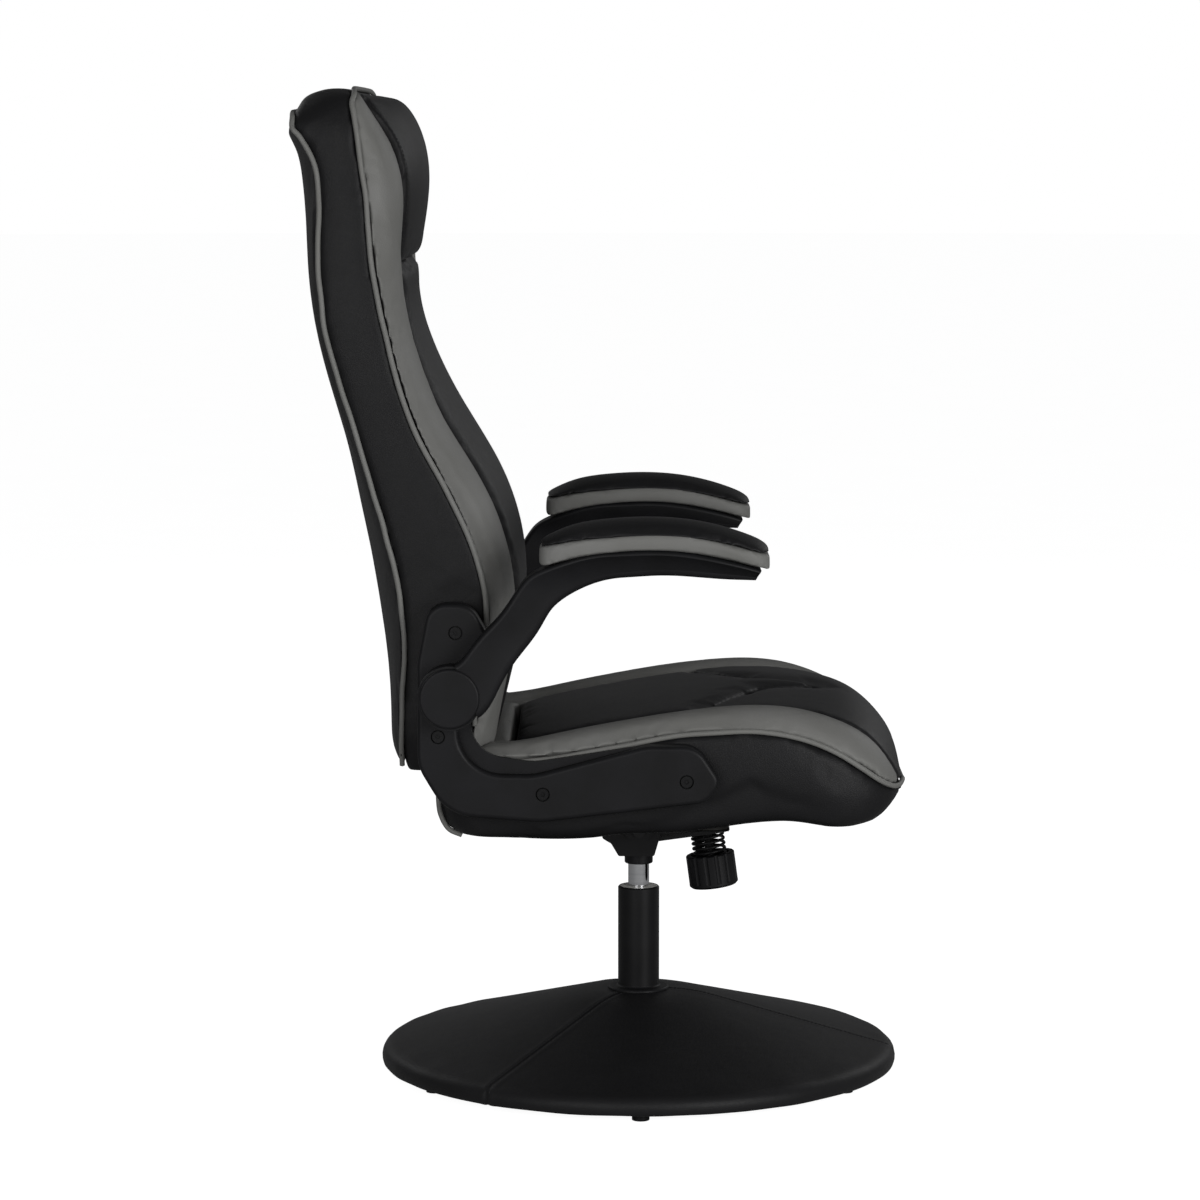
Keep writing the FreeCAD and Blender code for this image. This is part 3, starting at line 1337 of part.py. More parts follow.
def build():
    """Make every sub-part of the chair."""
    base_shell()
    base_weight_plate()
    base_cover_panels()
    glides()
    column_tube()
    column_foot_ring()
    flange_bolts()
    column_bushes()
    thrust_bearing()
    swivel_post()
    post_collar()
    mechanism_bowl()
    rock_pivot()
    rock_stop_pad()
    mechanism_plate()
    mechanism_bolts()
    tension_stud()
    tension_spring()
    spring_washer()
    tension_knob()
    seat_inner_pieces()
    seat_form = seat_cushions()
    back_inner_pieces()
    back_cushions(seat_form)
    seat_piping()
    back_piping()
    for name, side in SIDES.items():
        side_bracket(name, side)
        arm_parts(name, side)
    bolts = bracket_bolts_one_side()
    solid_feature("bracket_bolts", Part.makeCompound(bolts + [mirrored(bolt) for bolt in bolts]))
    hub_pins()


def check():
    """Stop if any object failed or any sub-part isn't a sound solid."""
    doc.recompute()
    for item in doc.Objects:
        if "Invalid" in item.State or "Error" in item.State:
            raise RuntimeError("failed object " + item.Label)
    for label, item in nodes.items():
        if item.Shape.isNull() or not item.Shape.isValid():
            raise RuntimeError("unsound shape " + label)
        if not item.Shape.Solids:
            raise RuntimeError("no solid in " + label)


def export():
    """Write one STEP file for each sub-part."""
    os.makedirs("parts", exist_ok=True)
    for label, item in nodes.items():
        item.Shape.exportStep(f"parts/{label}.step")
        box = item.Shape.BoundBox
        print(f"{label}: {len(item.Shape.Solids)} solid(s), {item.Shape.Volume / 1000:.1f} cm3,",
              f"x {box.XMin:.0f}..{box.XMax:.0f} y {box.YMin:.0f}..{box.YMax:.0f}",
              f"z {box.ZMin:.0f}..{box.ZMax:.0f}")


build()
check()
export()
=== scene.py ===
# %% [markdown]
# # A pedestal rocker chair
# The chair is a padded seat and tall back on a swivel post, with flip-up arms and a covered
# disc base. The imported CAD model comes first, as a fixed frame in metres: every piece made
# here is built on it, rides on one of its bodies, and so moves when a joint moves.

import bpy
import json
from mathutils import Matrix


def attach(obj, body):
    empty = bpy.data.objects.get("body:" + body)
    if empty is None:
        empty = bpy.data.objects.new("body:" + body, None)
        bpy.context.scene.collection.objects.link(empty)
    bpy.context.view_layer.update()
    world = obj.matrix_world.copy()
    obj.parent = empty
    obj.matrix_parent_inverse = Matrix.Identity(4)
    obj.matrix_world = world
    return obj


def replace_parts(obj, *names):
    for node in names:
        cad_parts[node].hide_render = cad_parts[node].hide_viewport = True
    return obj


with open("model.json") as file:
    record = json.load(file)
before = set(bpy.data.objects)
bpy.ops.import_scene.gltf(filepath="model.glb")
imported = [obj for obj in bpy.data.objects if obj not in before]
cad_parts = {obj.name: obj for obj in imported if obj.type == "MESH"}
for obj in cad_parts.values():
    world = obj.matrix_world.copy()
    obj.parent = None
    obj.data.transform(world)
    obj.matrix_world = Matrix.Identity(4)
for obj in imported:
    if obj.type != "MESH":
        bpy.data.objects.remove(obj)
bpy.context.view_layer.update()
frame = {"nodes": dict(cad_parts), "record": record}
print("CAD nodes:", len(frame["nodes"]))

# %% Tools used throughout
import json
import math

import bmesh
import bpy
import numpy as np
from mathutils import Vector
from mathutils.bvhtree import BVHTree
from mathutils.kdtree import KDTree

scene = bpy.context.scene
MM = 0.001


def metres(spots):
    """Millimetre points as an array in metres."""
    return np.array(spots, float) * MM


print("numbers on the chair are written in millimetres and turned to metres")

# %% [markdown]
# ## Camera
# The photograph looks at the chair's right side, level with the arm rests and a little from
# above. A long lens far away gives the same weak perspective as the picture.

# %% Camera
camera_data = bpy.data.cameras.new("photo_camera")
camera_data.sensor_width = 36.0
camera_data.lens = 124.7
camera = bpy.data.objects.new("photo_camera", camera_data)
scene.collection.objects.link(camera)
camera.location = metres((-46, -4877, 1113))
camera.rotation_euler = (math.radians(83.53), 0, 0)
camera_data.clip_end = 60.0
scene.camera = camera
scene.view_settings.view_transform = "Standard"
print("camera", [round(v, 3) for v in camera.location], "lens", camera_data.lens)

# %% [markdown]
# ## Nodes and colours
# Every finish is a small network of shader nodes. One function adds a node with its settings
# and links, and one turns a colour as read on a screen (sRGB hex) into linear light.

# %% Node and colour helpers


def linear(code, alpha=1.0):
    """A linear colour from an sRGB hex code."""
    parts = [int(code[i:i + 2], 16) / 255 for i in (1, 3, 5)]
    bent = [p / 12.92 if p <= 0.04045 else ((p + 0.055) / 1.055) ** 2.4 for p in parts]
    return (*bent, alpha)


def add(tree, kind, inputs=None, **settings):
    """A new node with its settings, and its inputs given as values or linked sockets."""
    node = tree.nodes.new(kind)
    for name, setting in settings.items():
        setattr(node, name, setting)
    for name, given in (inputs or {}).items():
        if isinstance(given, bpy.types.NodeSocket):
            tree.links.new(given, node.inputs[name])
        else:
            node.inputs[name].default_value = given
    return node


def ramp(tree, factor, stops):
    """A colour ramp with (place, colour) stops; it gives its colour socket."""
    node = add(tree, "ShaderNodeValToRGB", {"Fac": factor})
    while len(node.color_ramp.elements) < len(stops):
        node.color_ramp.elements.new(0.5)
    for element, (place, colour) in zip(node.color_ramp.elements, stops):
        element.position = place
        element.color = colour
    return node.outputs["Color"]


def fresh_tree(name):
    """An empty material and its node tree."""
    material = bpy.data.materials.new(name)
    material.use_nodes = True
    material.node_tree.nodes.clear()
    return material, material.node_tree


def grey(level):
    return (level, level, level, 1.0)


print("thread black in linear light:", [round(v, 4) for v in linear("#232324")[:3]])

# %% [markdown]
# ## Studio
# The photograph is a cut-out on pure white. The floor and the world are white to the camera,
# and a small share of that white is given to mirrors, so that polished steel shows it without
# veiling the black covers. The light that falls on the chair comes from softboxes at a plain
# level. The floor still darkens a little under the chair, so that it stands on something.

# %% World and floor
MIRROR_SHARE = 0.07    # how much of the white backdrop a polished surface picks up


def backdrop_share(tree):
    """1 for what the camera sees directly or through glass, and a share of it for mirrors."""
    path = add(tree, "ShaderNodeLightPath")
    direct = add(tree, "ShaderNodeMath", {0: path.outputs["Is Camera Ray"],
                                          1: path.outputs["Is Transmission Ray"]}, operation="MAXIMUM")
    mirrored = add(tree, "ShaderNodeMath", {0: path.outputs["Is Glossy Ray"], 1: MIRROR_SHARE},
                   operation="MULTIPLY")
    return add(tree, "ShaderNodeMath", {0: direct.outputs[0], 1: mirrored.outputs[0]},
               operation="MAXIMUM").outputs[0]


world = bpy.data.worlds.new("studio")
scene.world = world
world.use_nodes = True
tree = world.node_tree
tree.nodes.clear()
room = add(tree, "ShaderNodeBackground", {"Color": linear("#f4f5f7"), "Strength": 0.11})
white = add(tree, "ShaderNodeBackground", {"Color": grey(1.0), "Strength": 1.0})
shown = add(tree, "ShaderNodeMixShader", {0: backdrop_share(tree), 1: room.outputs[0], 2: white.outputs[0]})
add(tree, "ShaderNodeOutputWorld", {"Surface": shown.outputs[0]})

FLOOR_RADIUS = 40.0
FLOOR_SIDES = 64
floor_turns = [math.tau * k / FLOOR_SIDES for k in range(FLOOR_SIDES)]
floor_rim = [(FLOOR_RADIUS * math.cos(turn), FLOOR_RADIUS * math.sin(turn), 0) for turn in floor_turns]
floor_mesh = bpy.data.meshes.new("studio_floor")
floor_mesh.from_pydata(floor_rim, [], [tuple(range(FLOOR_SIDES))])
floor = bpy.data.objects.new("studio_floor", floor_mesh)
scene.collection.objects.link(floor)

material, tree = fresh_tree("pale_studio_floor")
speck = add(tree, "ShaderNodeTexNoise", {"Scale": 300.0})
paint = ramp(tree, speck.outputs["Fac"], [(0.3, linear("#b4b4b4")), (0.7, linear("#bababa"))])
matt = add(tree, "ShaderNodeBsdfDiffuse", {"Color": paint})
glow = add(tree, "ShaderNodeEmission", {"Color": grey(1.0), "Strength": 0.94})
lit = add(tree, "ShaderNodeAddShader", {0: matt.outputs[0], 1: glow.outputs[0]})
floor_mix = add(tree, "ShaderNodeMixShader", {0: backdrop_share(tree), 1: matt.outputs[0], 2: lit.outputs[0]})
add(tree, "ShaderNodeOutputMaterial", {"Surface": floor_mix.outputs[0]})
floor_mesh.materials.append(material)
print("floor", 2 * FLOOR_RADIUS, "m wide")

# %% Lamps


def softbox(name, place, aim, size, watts):
    """A square area lamp that points at a spot."""
    lamp = bpy.data.lights.new(name, "AREA")
    lamp.shape = "RECTANGLE"
    lamp.size, lamp.size_y = size
    lamp.energy = watts
    item = bpy.data.objects.new(name, lamp)
    scene.collection.objects.link(item)
    item.location = place
    item.rotation_euler = (Vector(aim) - Vector(place)).to_track_quat("-Z", "Y").to_euler()
    return item


softbox("key_front", (2.5, -3.5, 1.2), (0, 0, 0.6), (2.0, 2.0), 108)
softbox("fill_side", (-1.7, -3.9, 1.3), (-0.2, 0, 0.7), (2.4, 2.0), 60)
softbox("far_rear", (-2.6, 3.2, 2.6), (0, 0, 0.6), (1.8, 1.8), 12)
softbox("far_front", (2.8, 3.0, 2.3), (0, 0, 0.6), (1.8, 1.8), 18)

# %% [markdown]
# ## Leatherette
# The covers are leatherette: woven backing with a skin of polyurethane (PU) that is rolled
# between embossed cylinders. That gives a pebble grain of cells about 1 mm wide, a soft
# satin shine, and a slightly lighter, rubbed look where the skin is stretched over an edge.
# The grain is a Voronoi pattern in the object's own coordinates, so no unwrapping is needed.

# %% Leatherette
GRAIN_CELL = 2.2 * MM     # real cells are about 1 mm; a little coarser, so that they show


def leatherette(name, skin, rubbed, deep, rough=0.46, gloss=0.14):
    """Embossed PU skin: pebble grain, soft shine, paler where it is stretched."""
    material, tree = fresh_tree(name)
    place = add(tree, "ShaderNodeTexCoord").outputs["Object"]
    cells = add(tree, "ShaderNodeTexVoronoi", {"Vector": place, "Scale": 1 / GRAIN_CELL},
                feature="DISTANCE_TO_EDGE")
    pits = add(tree, "ShaderNodeMapRange", {"Value": cells.outputs["Distance"], "From Max": 0.22})
    pull = add(tree, "ShaderNodeTexNoise", {"Vector": place, "Scale": 14.0, "Detail": 3.0})
    fine = add(tree, "ShaderNodeTexNoise", {"Vector": place, "Scale": 900.0, "Detail": 2.0})
    edge = add(tree, "ShaderNodeNewGeometry").outputs["Pointiness"]
    worn = add(tree, "ShaderNodeMapRange", {"Value": edge, "From Min": 0.505, "From Max": 0.56,
                                            "To Max": 0.5})
    body = ramp(tree, pull.outputs["Fac"], [(0.3, linear(deep)), (0.7, linear(skin))])
    coloured = add(tree, "ShaderNodeMix", {0: worn.outputs[0], 6: body, 7: linear(rubbed)},
                   data_type="RGBA")
    shine = add(tree, "ShaderNodeMapRange", {"Value": fine.outputs["Fac"], "From Min": 0.3, "From Max": 0.7,
                                             "To Min": rough - 0.06, "To Max": rough + 0.06})
    grain = add(tree, "ShaderNodeBump", {"Height": pits.outputs[0], "Strength": 0.35,
                                         "Distance": 0.25 * MM})
    waves = add(tree, "ShaderNodeBump", {"Height": pull.outputs["Fac"], "Strength": 0.5,
                                         "Distance": 2.5 * MM, "Normal": grain.outputs[0]})
    shader = add(tree, "ShaderNodeBsdfPrincipled", {
        "Base Color": coloured.outputs[2], "Roughness": shine.outputs[0], "IOR": 1.5,
        "Specular IOR Level": gloss, "Normal": waves.outputs[0]})
    add(tree, "ShaderNodeOutputMaterial", {"Surface": shader.outputs[0]})
    return material


black_leatherette = leatherette("black_PU_leatherette", "#1a1a1b", "#262627", "#161617")
grey_leatherette = leatherette("grey_PU_leatherette", "#727270", "#82827f", "#6a6a67")
grey_piping_skin = leatherette("grey_PU_piping", "#6f6f6d", "#80807d", "#636360", 0.42)
print("leatherette cells", GRAIN_CELL / MM, "mm")

# %% [markdown]
# ## Hard finishes
# The brackets and arms are glass-filled nylon, moulded in a tool whose walls were spark
# eroded: a fine, even, dull texture. The column and mechanism are steel with black powder
# coat, which dries with a faint orange peel. The swivel post is hard-chromed and ground, and
# small fasteners are zinc-plated or black steel.

# %% Plastics, coatings and metals


def hard_finish(name, colour, deep, rough, texture_mm, depth_mm, metal=0.0, vary=0.04, stretch=None,
                gloss=0.5):
    """A solid finish with a fine surface texture of a real size, in millimetres."""
    material, tree = fresh_tree(name)
    place = add(tree, "ShaderNodeTexCoord").outputs["Object"]
    if stretch:
        place = add(tree, "ShaderNodeMapping", {"Vector": place, "Scale": stretch}).outputs[0]
    texture = add(tree, "ShaderNodeTexNoise", {"Vector": place, "Scale": 1000 / texture_mm, "Detail": 3.0})
    cloud = add(tree, "ShaderNodeTexNoise", {"Vector": place, "Scale": 22.0, "Detail": 4.0})
    body = ramp(tree, cloud.outputs["Fac"], [(0.35, linear(deep)), (0.65, linear(colour))])
    shine = add(tree, "ShaderNodeMapRange", {"Value": cloud.outputs["Fac"], "From Min": 0.3, "From Max": 0.7,
                                             "To Min": rough - vary, "To Max": rough + vary})
    bump = add(tree, "ShaderNodeBump", {"Height": texture.outputs["Fac"], "Strength": 0.4,
                                        "Distance": depth_mm * MM})
    shader = add(tree, "ShaderNodeBsdfPrincipled", {
        "Base Color": body, "Roughness": shine.outputs[0], "Metallic": metal,
        "Specular IOR Level": gloss, "Normal": bump.outputs[0]})
    add(tree, "ShaderNodeOutputMaterial", {"Surface": shader.outputs[0]})
    return material


nylon = hard_finish("moulded_nylon_black", "#18181a", "#151516", 0.46, 1.6, 0.08, gloss=0.14)
bush_acetal = hard_finish("turned_acetal_white", "#d6d5cf", "#cccbc4", 0.4, 1.2, 0.03)
powder_coat = hard_finish("black_powder_coat", "#161617", "#121213", 0.38, 2.4, 0.06, gloss=0.16)
zinc_plate = hard_finish("zinc_plated_steel", "#a9abae", "#9a9c9f", 0.34, 1.5, 0.03, 1.0)
chrome = hard_finish("ground_chrome", "#d3d4d6", "#c6c7ca", 0.1, 0.9, 0.01, 1.0, 0.02, (1, 1, 12))
birch_ply = hard_finish("birch_plywood", "#b98f5e", "#a67d4e", 0.62, 3.0, 0.15, 0.0, 0.05, (1, 9, 1))
lining_cloth = hard_finish("spunbond_lining_black", "#1a1a1a", "#141414", 0.9, 1.4, 0.3, gloss=0.1)
stop_rubber = hard_finish("moulded_rubber_black", "#191919", "#151515", 0.7, 2.0, 0.1, gloss=0.2)
black_oxide = hard_finish("black_oxide_steel", "#19191a", "#131314", 0.42, 0.8, 0.04, gloss=0.2)
stained_ply = hard_finish("black_stained_plywood", "#1b1a19", "#141413", 0.66, 3.0, 0.15, 0.0, 0.05,
                          (1, 9, 1), 0.15)
# Parts that show between the covers and the mechanism are blackened or stained
DARKENED = {"tension_stud": black_oxide, "spring_washer": black_oxide, "rock_pivot_pin": black_oxide,
            "mechanism_bolts": black_oxide, "seat_board": stained_ply}
SLOT_FINISH = {
    "black_leatherette": black_leatherette, "grey_leatherette": grey_leatherette,
    "grey_piping": grey_piping_skin, "black_nylon": nylon, "bush_plastic": bush_acetal,
    "black_painted_steel": powder_coat, "zinc_steel": zinc_plate, "chrome": chrome,
    "plywood": birch_ply, "dust_fabric": lining_cloth, "stop_rubber": stop_rubber,
}
for part in frame["record"]["subparts"]:
    mesh = frame["nodes"][part["node"]].data
    mesh.materials.clear()
    mesh.materials.append(DARKENED.get(part["node"], SLOT_FINISH[part["material_slot"]]))

# %% [markdown]
# ## Lines of the covers
# The upholsterer's patterns meet along seams. These are the same stations that the CAD
# source lofts its forms through, so piping, creases and stitches find the seams again.
# A smooth line through the stations is made by cubic pieces, then walked in even steps.

# %% Stations and smooth lines
# Rear middle (x, z), lean in degrees, distances from the rear to rear piping, front piping,
# border seam and front middle, and half widths at rear piping, front piping and border seam.
BACK_STATIONS = [
    ((-284, 390), 0, (15, 84, 106, 108), (226, 236, 150)),
    ((-288, 440), 2, (16, 98, 122, 125), (236, 245, 158)),
    ((-292, 500), 4, (23, 113, 140, 145), (238, 248, 160)),
    ((-300.5, 560), 6, (32, 129, 157, 163.5), (239, 248, 158)),
    ((-310.5, 620), 8, (34, 127, 159, 169.5), (240, 248, 154)),
    ((-324.5, 690), 11, (29, 109, 143, 158.5), (240, 248, 150)),
    ((-339, 760), 13, (21, 87, 116, 132.5), (239, 248, 148)),
    ((-359, 830), 14, (19, 84, 106, 117.5), (238, 247, 150)),
    ((-375, 900), 14, (19, 84, 106, 115), (235, 244, 154)),
    ((-381.5, 955), 13, (21, 81.5, 111, 125.5), (232, 240, 158)),
    ((-384, 1010), 13, (23.5, 79, 119, 136.5), (229, 236, 162)),
    ((-388.5, 1060), 16, (26, 77, 117, 138), (225, 231, 166)),
    ((-398, 1098), 22, (18, 82, 101, 124), (220, 225, 172)),
    ((-403.5, 1111), 21.5, (14, 85, 97, 114), (215, 218, 176)),
    ((-402, 1124), 19, (12, 84, 89, 97), (206, 208, 172)),
    ((-386, 1147), 9, (6, 62, 64, 67), (182, 184, 156)),
]
# The seat's side seam from the rear corner to the nose: x, half width, z.
SEAT_SEAM = [
    (-203, 243, 402), (-150, 252, 405), (-88, 254, 410), (-20, 254, 422), (40, 254, 433.5),
    (90, 254, 438), (135, 254, 438), (180, 253, 430), (220, 250, 413), (250, 243, 394),
    (272, 231, 378), (288, 213, 369), (298, 190, 367), (304, 160, 368),
]
REAR_PIPE, FRONT_PIPE, BORDER_SEAM = range(3)
HEADREST_STATION = 9     # where the headrest ends and the centre pad begins
HEADREST_DROP = 16       # how far below that station the cut lies, in millimetres


def back_spot(station, distance, y):
    """A point on one station's section of the back."""
    (x, z), lean = station[0], math.radians(station[1])
    return (x + distance * math.cos(lean), y, z + distance * math.sin(lean))


def smooth_line(spots, step=4.0):
    """Even steps along a smooth curve through spots, all in millimetres."""
    spots = np.array(spots, float)
    reach = np.concatenate([[0], np.cumsum(np.linalg.norm(np.diff(spots, axis=0), axis=1) ** 0.5)])
    slopes = np.gradient(spots, reach, axis=0)
    walked = [spots[:1]]
    for i in range(len(spots) - 1):
        gap = reach[i + 1] - reach[i]
        t = np.linspace(0, 1, 25)[1:, None]
        walked.append((2 * t**3 - 3 * t**2 + 1) * spots[i] + (t**3 - 2 * t**2 + t) * gap * slopes[i]
                      + (3 * t**2 - 2 * t**3) * spots[i + 1] + (t**3 - t**2) * gap * slopes[i + 1])
    dense = np.concatenate(walked)
    run = np.concatenate([[0], np.cumsum(np.linalg.norm(np.diff(dense, axis=0), axis=1))])
    even = np.linspace(0, run[-1], max(3, int(run[-1] / step) + 1))
    return np.stack([np.interp(even, run, dense[:, k]) for k in range(3)], axis=1)


def both_sides(line):
    """A line and its mirror image across the chair's middle plane."""
    line = np.array(line, float)
    return [line, line * (1, -1, 1)]


border_line = [back_spot(s, s[2][BORDER_SEAM], s[3][2]) for s in BACK_STATIONS[1:15]]
print("back border seam", round(len(smooth_line(border_line, 10.0)) * 10), "mm long")

# %% [markdown]
# ## Making padded pieces
# A cushion panel is foam under a sewn skin: crowned in the middle, drawn down at its seams.
# Each one starts as a copy of the CAD solid that it stands for. A voxel remesh gives it even
# quads, a few rounds of smoothing roll its edges over as a seam does, and a cloth simulation
# with air pressure inside swells the skin. All panels are blown up in the same 20 frames, and
# no point may move further than a cap, so each panel keeps to its own place.

# %% Panels from the CAD solids


def mesh_object(name, vertices, faces, material, smooth=True):
    """A mesh piece in the row frame."""
    mesh = bpy.data.meshes.new(name)
    mesh.from_pydata([tuple(v) for v in vertices], [], [tuple(f) for f in faces])
    mesh.materials.append(material)
    item = bpy.data.objects.new(name, mesh)
    scene.collection.objects.link(item)
    if smooth:
        mesh.shade_smooth()
    return item


def points_of(mesh):
    """The vertices of a mesh as an array."""
    spots = np.empty(len(mesh.vertices) * 3, np.float32)
    mesh.vertices.foreach_get("co", spots)
    return spots.reshape(-1, 3).astype(float)


def normals_of(mesh):
    """The vertex normals of a mesh as an array."""
    spots = np.empty(len(mesh.vertices) * 3, np.float32)
    mesh.vertex_normals.foreach_get("vector", spots)
    return spots.reshape(-1, 3).astype(float)


def put_points(mesh, spots):
    """New places for a mesh's vertices."""
    mesh.vertices.foreach_set("co", spots.astype(np.float32).ravel())
    mesh.update()


def bake_modifiers(item):
    """Replace a piece's mesh by what its modifiers make of it."""
    made = bpy.data.meshes.new_from_object(item.evaluated_get(bpy.context.evaluated_depsgraph_get()))
    item.modifiers.clear()
    old = item.data
    item.data = made
    bpy.data.meshes.remove(old)
    return item


def panel_from(node, name, material, voxel=5.0, roll=6):
    """An even-meshed copy of one CAD solid with its edges rolled over."""
    mesh = frame["nodes"][node].data.copy()
    item = bpy.data.objects.new(name, mesh)
    scene.collection.objects.link(item)
    knit = bmesh.new()
    knit.from_mesh(mesh)
    bmesh.ops.remove_doubles(knit, verts=knit.verts, dist=0.02 * MM)
    knit.to_mesh(mesh)
    knit.free()
    remesh = item.modifiers.new("even", "REMESH")
    remesh.mode = "VOXEL"
    remesh.voxel_size = voxel * MM
    even = item.modifiers.new("rolled", "SMOOTH")
    even.factor = 0.5
    even.iterations = roll
    bake_modifiers(item)
    item.data.materials.clear()
    item.data.materials.append(material)
    return item


# Piece name, CAD node, skin, voxel in mm, rounds of smoothing, cap on the swelling in mm
PANELS = [
    ("seat_cushion_centre", "seat_centre_pad", black_leatherette, 5.0, 5, 5.0),
    ("seat_cushion_front", "seat_front_pad", black_leatherette, 5.0, 5, 4.0),
    ("seat_border_rear", "seat_rear_border", grey_leatherette, 4.0, 5, 3.0),
    ("seat_bolster_cushion_left", "seat_bolster_left", grey_leatherette, 4.5, 5, 4.0),
    ("seat_bolster_cushion_right", "seat_bolster_right", grey_leatherette, 4.5, 5, 4.0),
    ("seat_side_cover", "seat_boxing", black_leatherette, 5.5, 5, 2.0),
    ("back_cushion_centre", "back_centre_pad", black_leatherette, 5.0, 5, 5.0),
    ("headrest_cushion", "headrest_pad", black_leatherette, 5.0, 5, 5.0),
    ("back_bolster_cushion_left", "back_bolster_left", grey_leatherette, 4.5, 5, 4.0),
    ("back_bolster_cushion_right", "back_bolster_right", grey_leatherette, 4.5, 5, 4.0),
    ("back_side_cover", "back_boxing", black_leatherette, 5.5, 5, 3.0),
    ("back_rear_cover", "back_rear_panel", black_leatherette, 5.0, 4, 3.0),
]
ARM_PANELS = [
    ("arm_rest_band_", "arm_band_", grey_leatherette, 3.0, 4, 1.0),
    ("arm_rest_pad_", "arm_pad_", black_leatherette, 3.0, 6, 2.5),
]
panels = {}
caps = {}
for name, node, skin, voxel, roll, cap in PANELS:
    panels[name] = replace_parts(panel_from(node, name, skin, voxel, roll), node)
    caps[name] = cap
for stem, node_stem, skin, voxel, roll, cap in ARM_PANELS:
    for side in ("left", "right"):
        name = stem + side
        panels[name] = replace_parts(panel_from(node_stem + side, name, skin, voxel, roll),
                                           node_stem + side)
        caps[name] = cap
for name, item in panels.items():
    print(name, len(item.data.vertices), "points")

# %% Swell the panels
SWELL_FRAMES = 20


def set_cloth(item):
    """A sealed skin of cloth with air pressure inside and no gravity."""
    cloth = item.modifiers.new("skin", "CLOTH")
    cloth.settings.quality = 5
    cloth.settings.mass = 0.3
    cloth.settings.tension_stiffness = 18
    cloth.settings.compression_stiffness = 18
    cloth.settings.shear_stiffness = 8
    cloth.settings.bending_stiffness = 1.2
    cloth.settings.use_pressure = True
    cloth.settings.uniform_pressure_force = 4.0
    cloth.settings.effector_weights.gravity = 0.0
    cloth.point_cache.frame_start = 1
    cloth.point_cache.frame_end = SWELL_FRAMES


def swell(items):
    """Blow up all the panels together and keep each point's move under its cap."""
    before = {}
    for name, item in items.items():
        before[name] = points_of(item.data)
        set_cloth(item)
    for frame_number in range(1, SWELL_FRAMES + 1):
        scene.frame_set(frame_number)
    graph = bpy.context.evaluated_depsgraph_get()
    for name, item in items.items():
        swollen = item.evaluated_get(graph).to_mesh()
        moved = points_of(swollen) - before[name]
        moved -= moved.mean(axis=0)
        length = np.linalg.norm(moved, axis=1, keepdims=True) + 1e-9
        cap = caps[name] * MM
        put_points(item.data, before[name] + moved / length * cap * np.tanh(length / cap))
        item.evaluated_get(graph).to_mesh_clear()
        print(name, "swelled by up to", round(float(length.max()) / MM, 1), "mm before its cap")
    for item in items.values():
        item.modifiers.clear()
    scene.frame_set(1)


swell(panels)
for item in panels.values():
    finer = item.modifiers.new("finer", "SUBSURF")
    finer.levels = finer.render_levels = 1
    bake_modifiers(item)
    item.data.shade_smooth()
print("panels after subdivision:", sum(len(p.data.vertices) for p in panels.values()), "points")

# %% [markdown]
# ## A tube along a line
# Piping is a cord sewn into a seam under a strip of leatherette. Its form is a round tube swept
# along the seam line. Each ring of points is turned as little as possible from the last, so the
# tube doesn't twist.

# %% A tube along a line


def tube(name, line, radius, material, sides=12):
    """A round tube along a line in millimetres, with capped ends."""
    line = np.array(line, float)
    along = np.gradient(line, axis=0)
    along /= np.linalg.norm(along, axis=1, keepdims=True)
    across = np.cross(along[0], (0.3, 0.2, 1.0))
    rings = []
    for i, spot in enumerate(line):
        across = across - along[i] * (across @ along[i])
        across /= np.linalg.norm(across)
        other = np.cross(along[i], across)
        for k in range(sides):
            turn = 2 * math.pi * k / sides
            rings.append(spot + radius * (math.cos(turn) * across + math.sin(turn) * other))
    faces = []
    for i in range(len(line) - 1):
        for k in range(sides):
            a, b = i * sides + k, i * sides + (k + 1) % sides
            faces.append((a, b, b + sides, a + sides))
    faces.append(tuple(range(sides))[::-1])
    faces.append(tuple(range((len(line) - 1) * sides, len(line) * sides)))
    return mesh_object(name, metres(rings), faces, material)


print("tube sweeps a ring of points along a line")

# %% [markdown]
# ## The base's cover
# The disc is a moulded dome with leatherette pulled over it in three sewn panels, and turned
# under at the rim. It is a lathe form: one profile turned about the column, sunk along the
# three seams, with slow ripples where the skin was stretched over the rim.

# %% Base cover
BASE_PROFILE = [
    (26, 95.0), (48, 94.3), (62, 92.8), (76, 90.4), (90, 87.0), (104, 83.2), (130, 76.3), (160, 68.3),
    (190, 60.3), (220, 52.3), (250, 44.3), (270, 39.0), (285, 35.0), (293, 32.7), (299, 30.0),
    (303.4, 25.6), (305.3, 20.5), (305.3, 15.0), (304.6, 11.4), (302, 10.0), (290, 9.8), (270, 9.8),
    (248, 9.8),
]
BASE_SEAMS = (-5.0, 115.0, 235.0)
SEAM_SINK, SEAM_WIDTH = 0.9, 2.2                 # the groove along each seam
BEAD_RISE, BEAD_AWAY, BEAD_WIDTH = 0.35, 6, 3.5  # the fold of skin that lies beside it
RIPPLE_RISE, RIPPLE_AT, RIPPLE_WIDTH = 0.35, 292, 26
COVER_THICK = 1.4
COVER_FOOT = 9.3                                 # no point of the cover lies lower
TURNS = 720


def base_profile():
    """The outer profile in steps fine enough to crease and ripple."""
    line = smooth_line([(r, 0, z) for r, z in BASE_PROFILE], 4.0)
    return line[:, 0], line[:, 2]


def seam_distance(angle, radius):
    """How far a point of the disc is from the nearest seam, in millimetres."""
    gaps = [abs((angle - seam + 180) % 360 - 180) for seam in BASE_SEAMS]
    return math.radians(min(gaps)) * radius


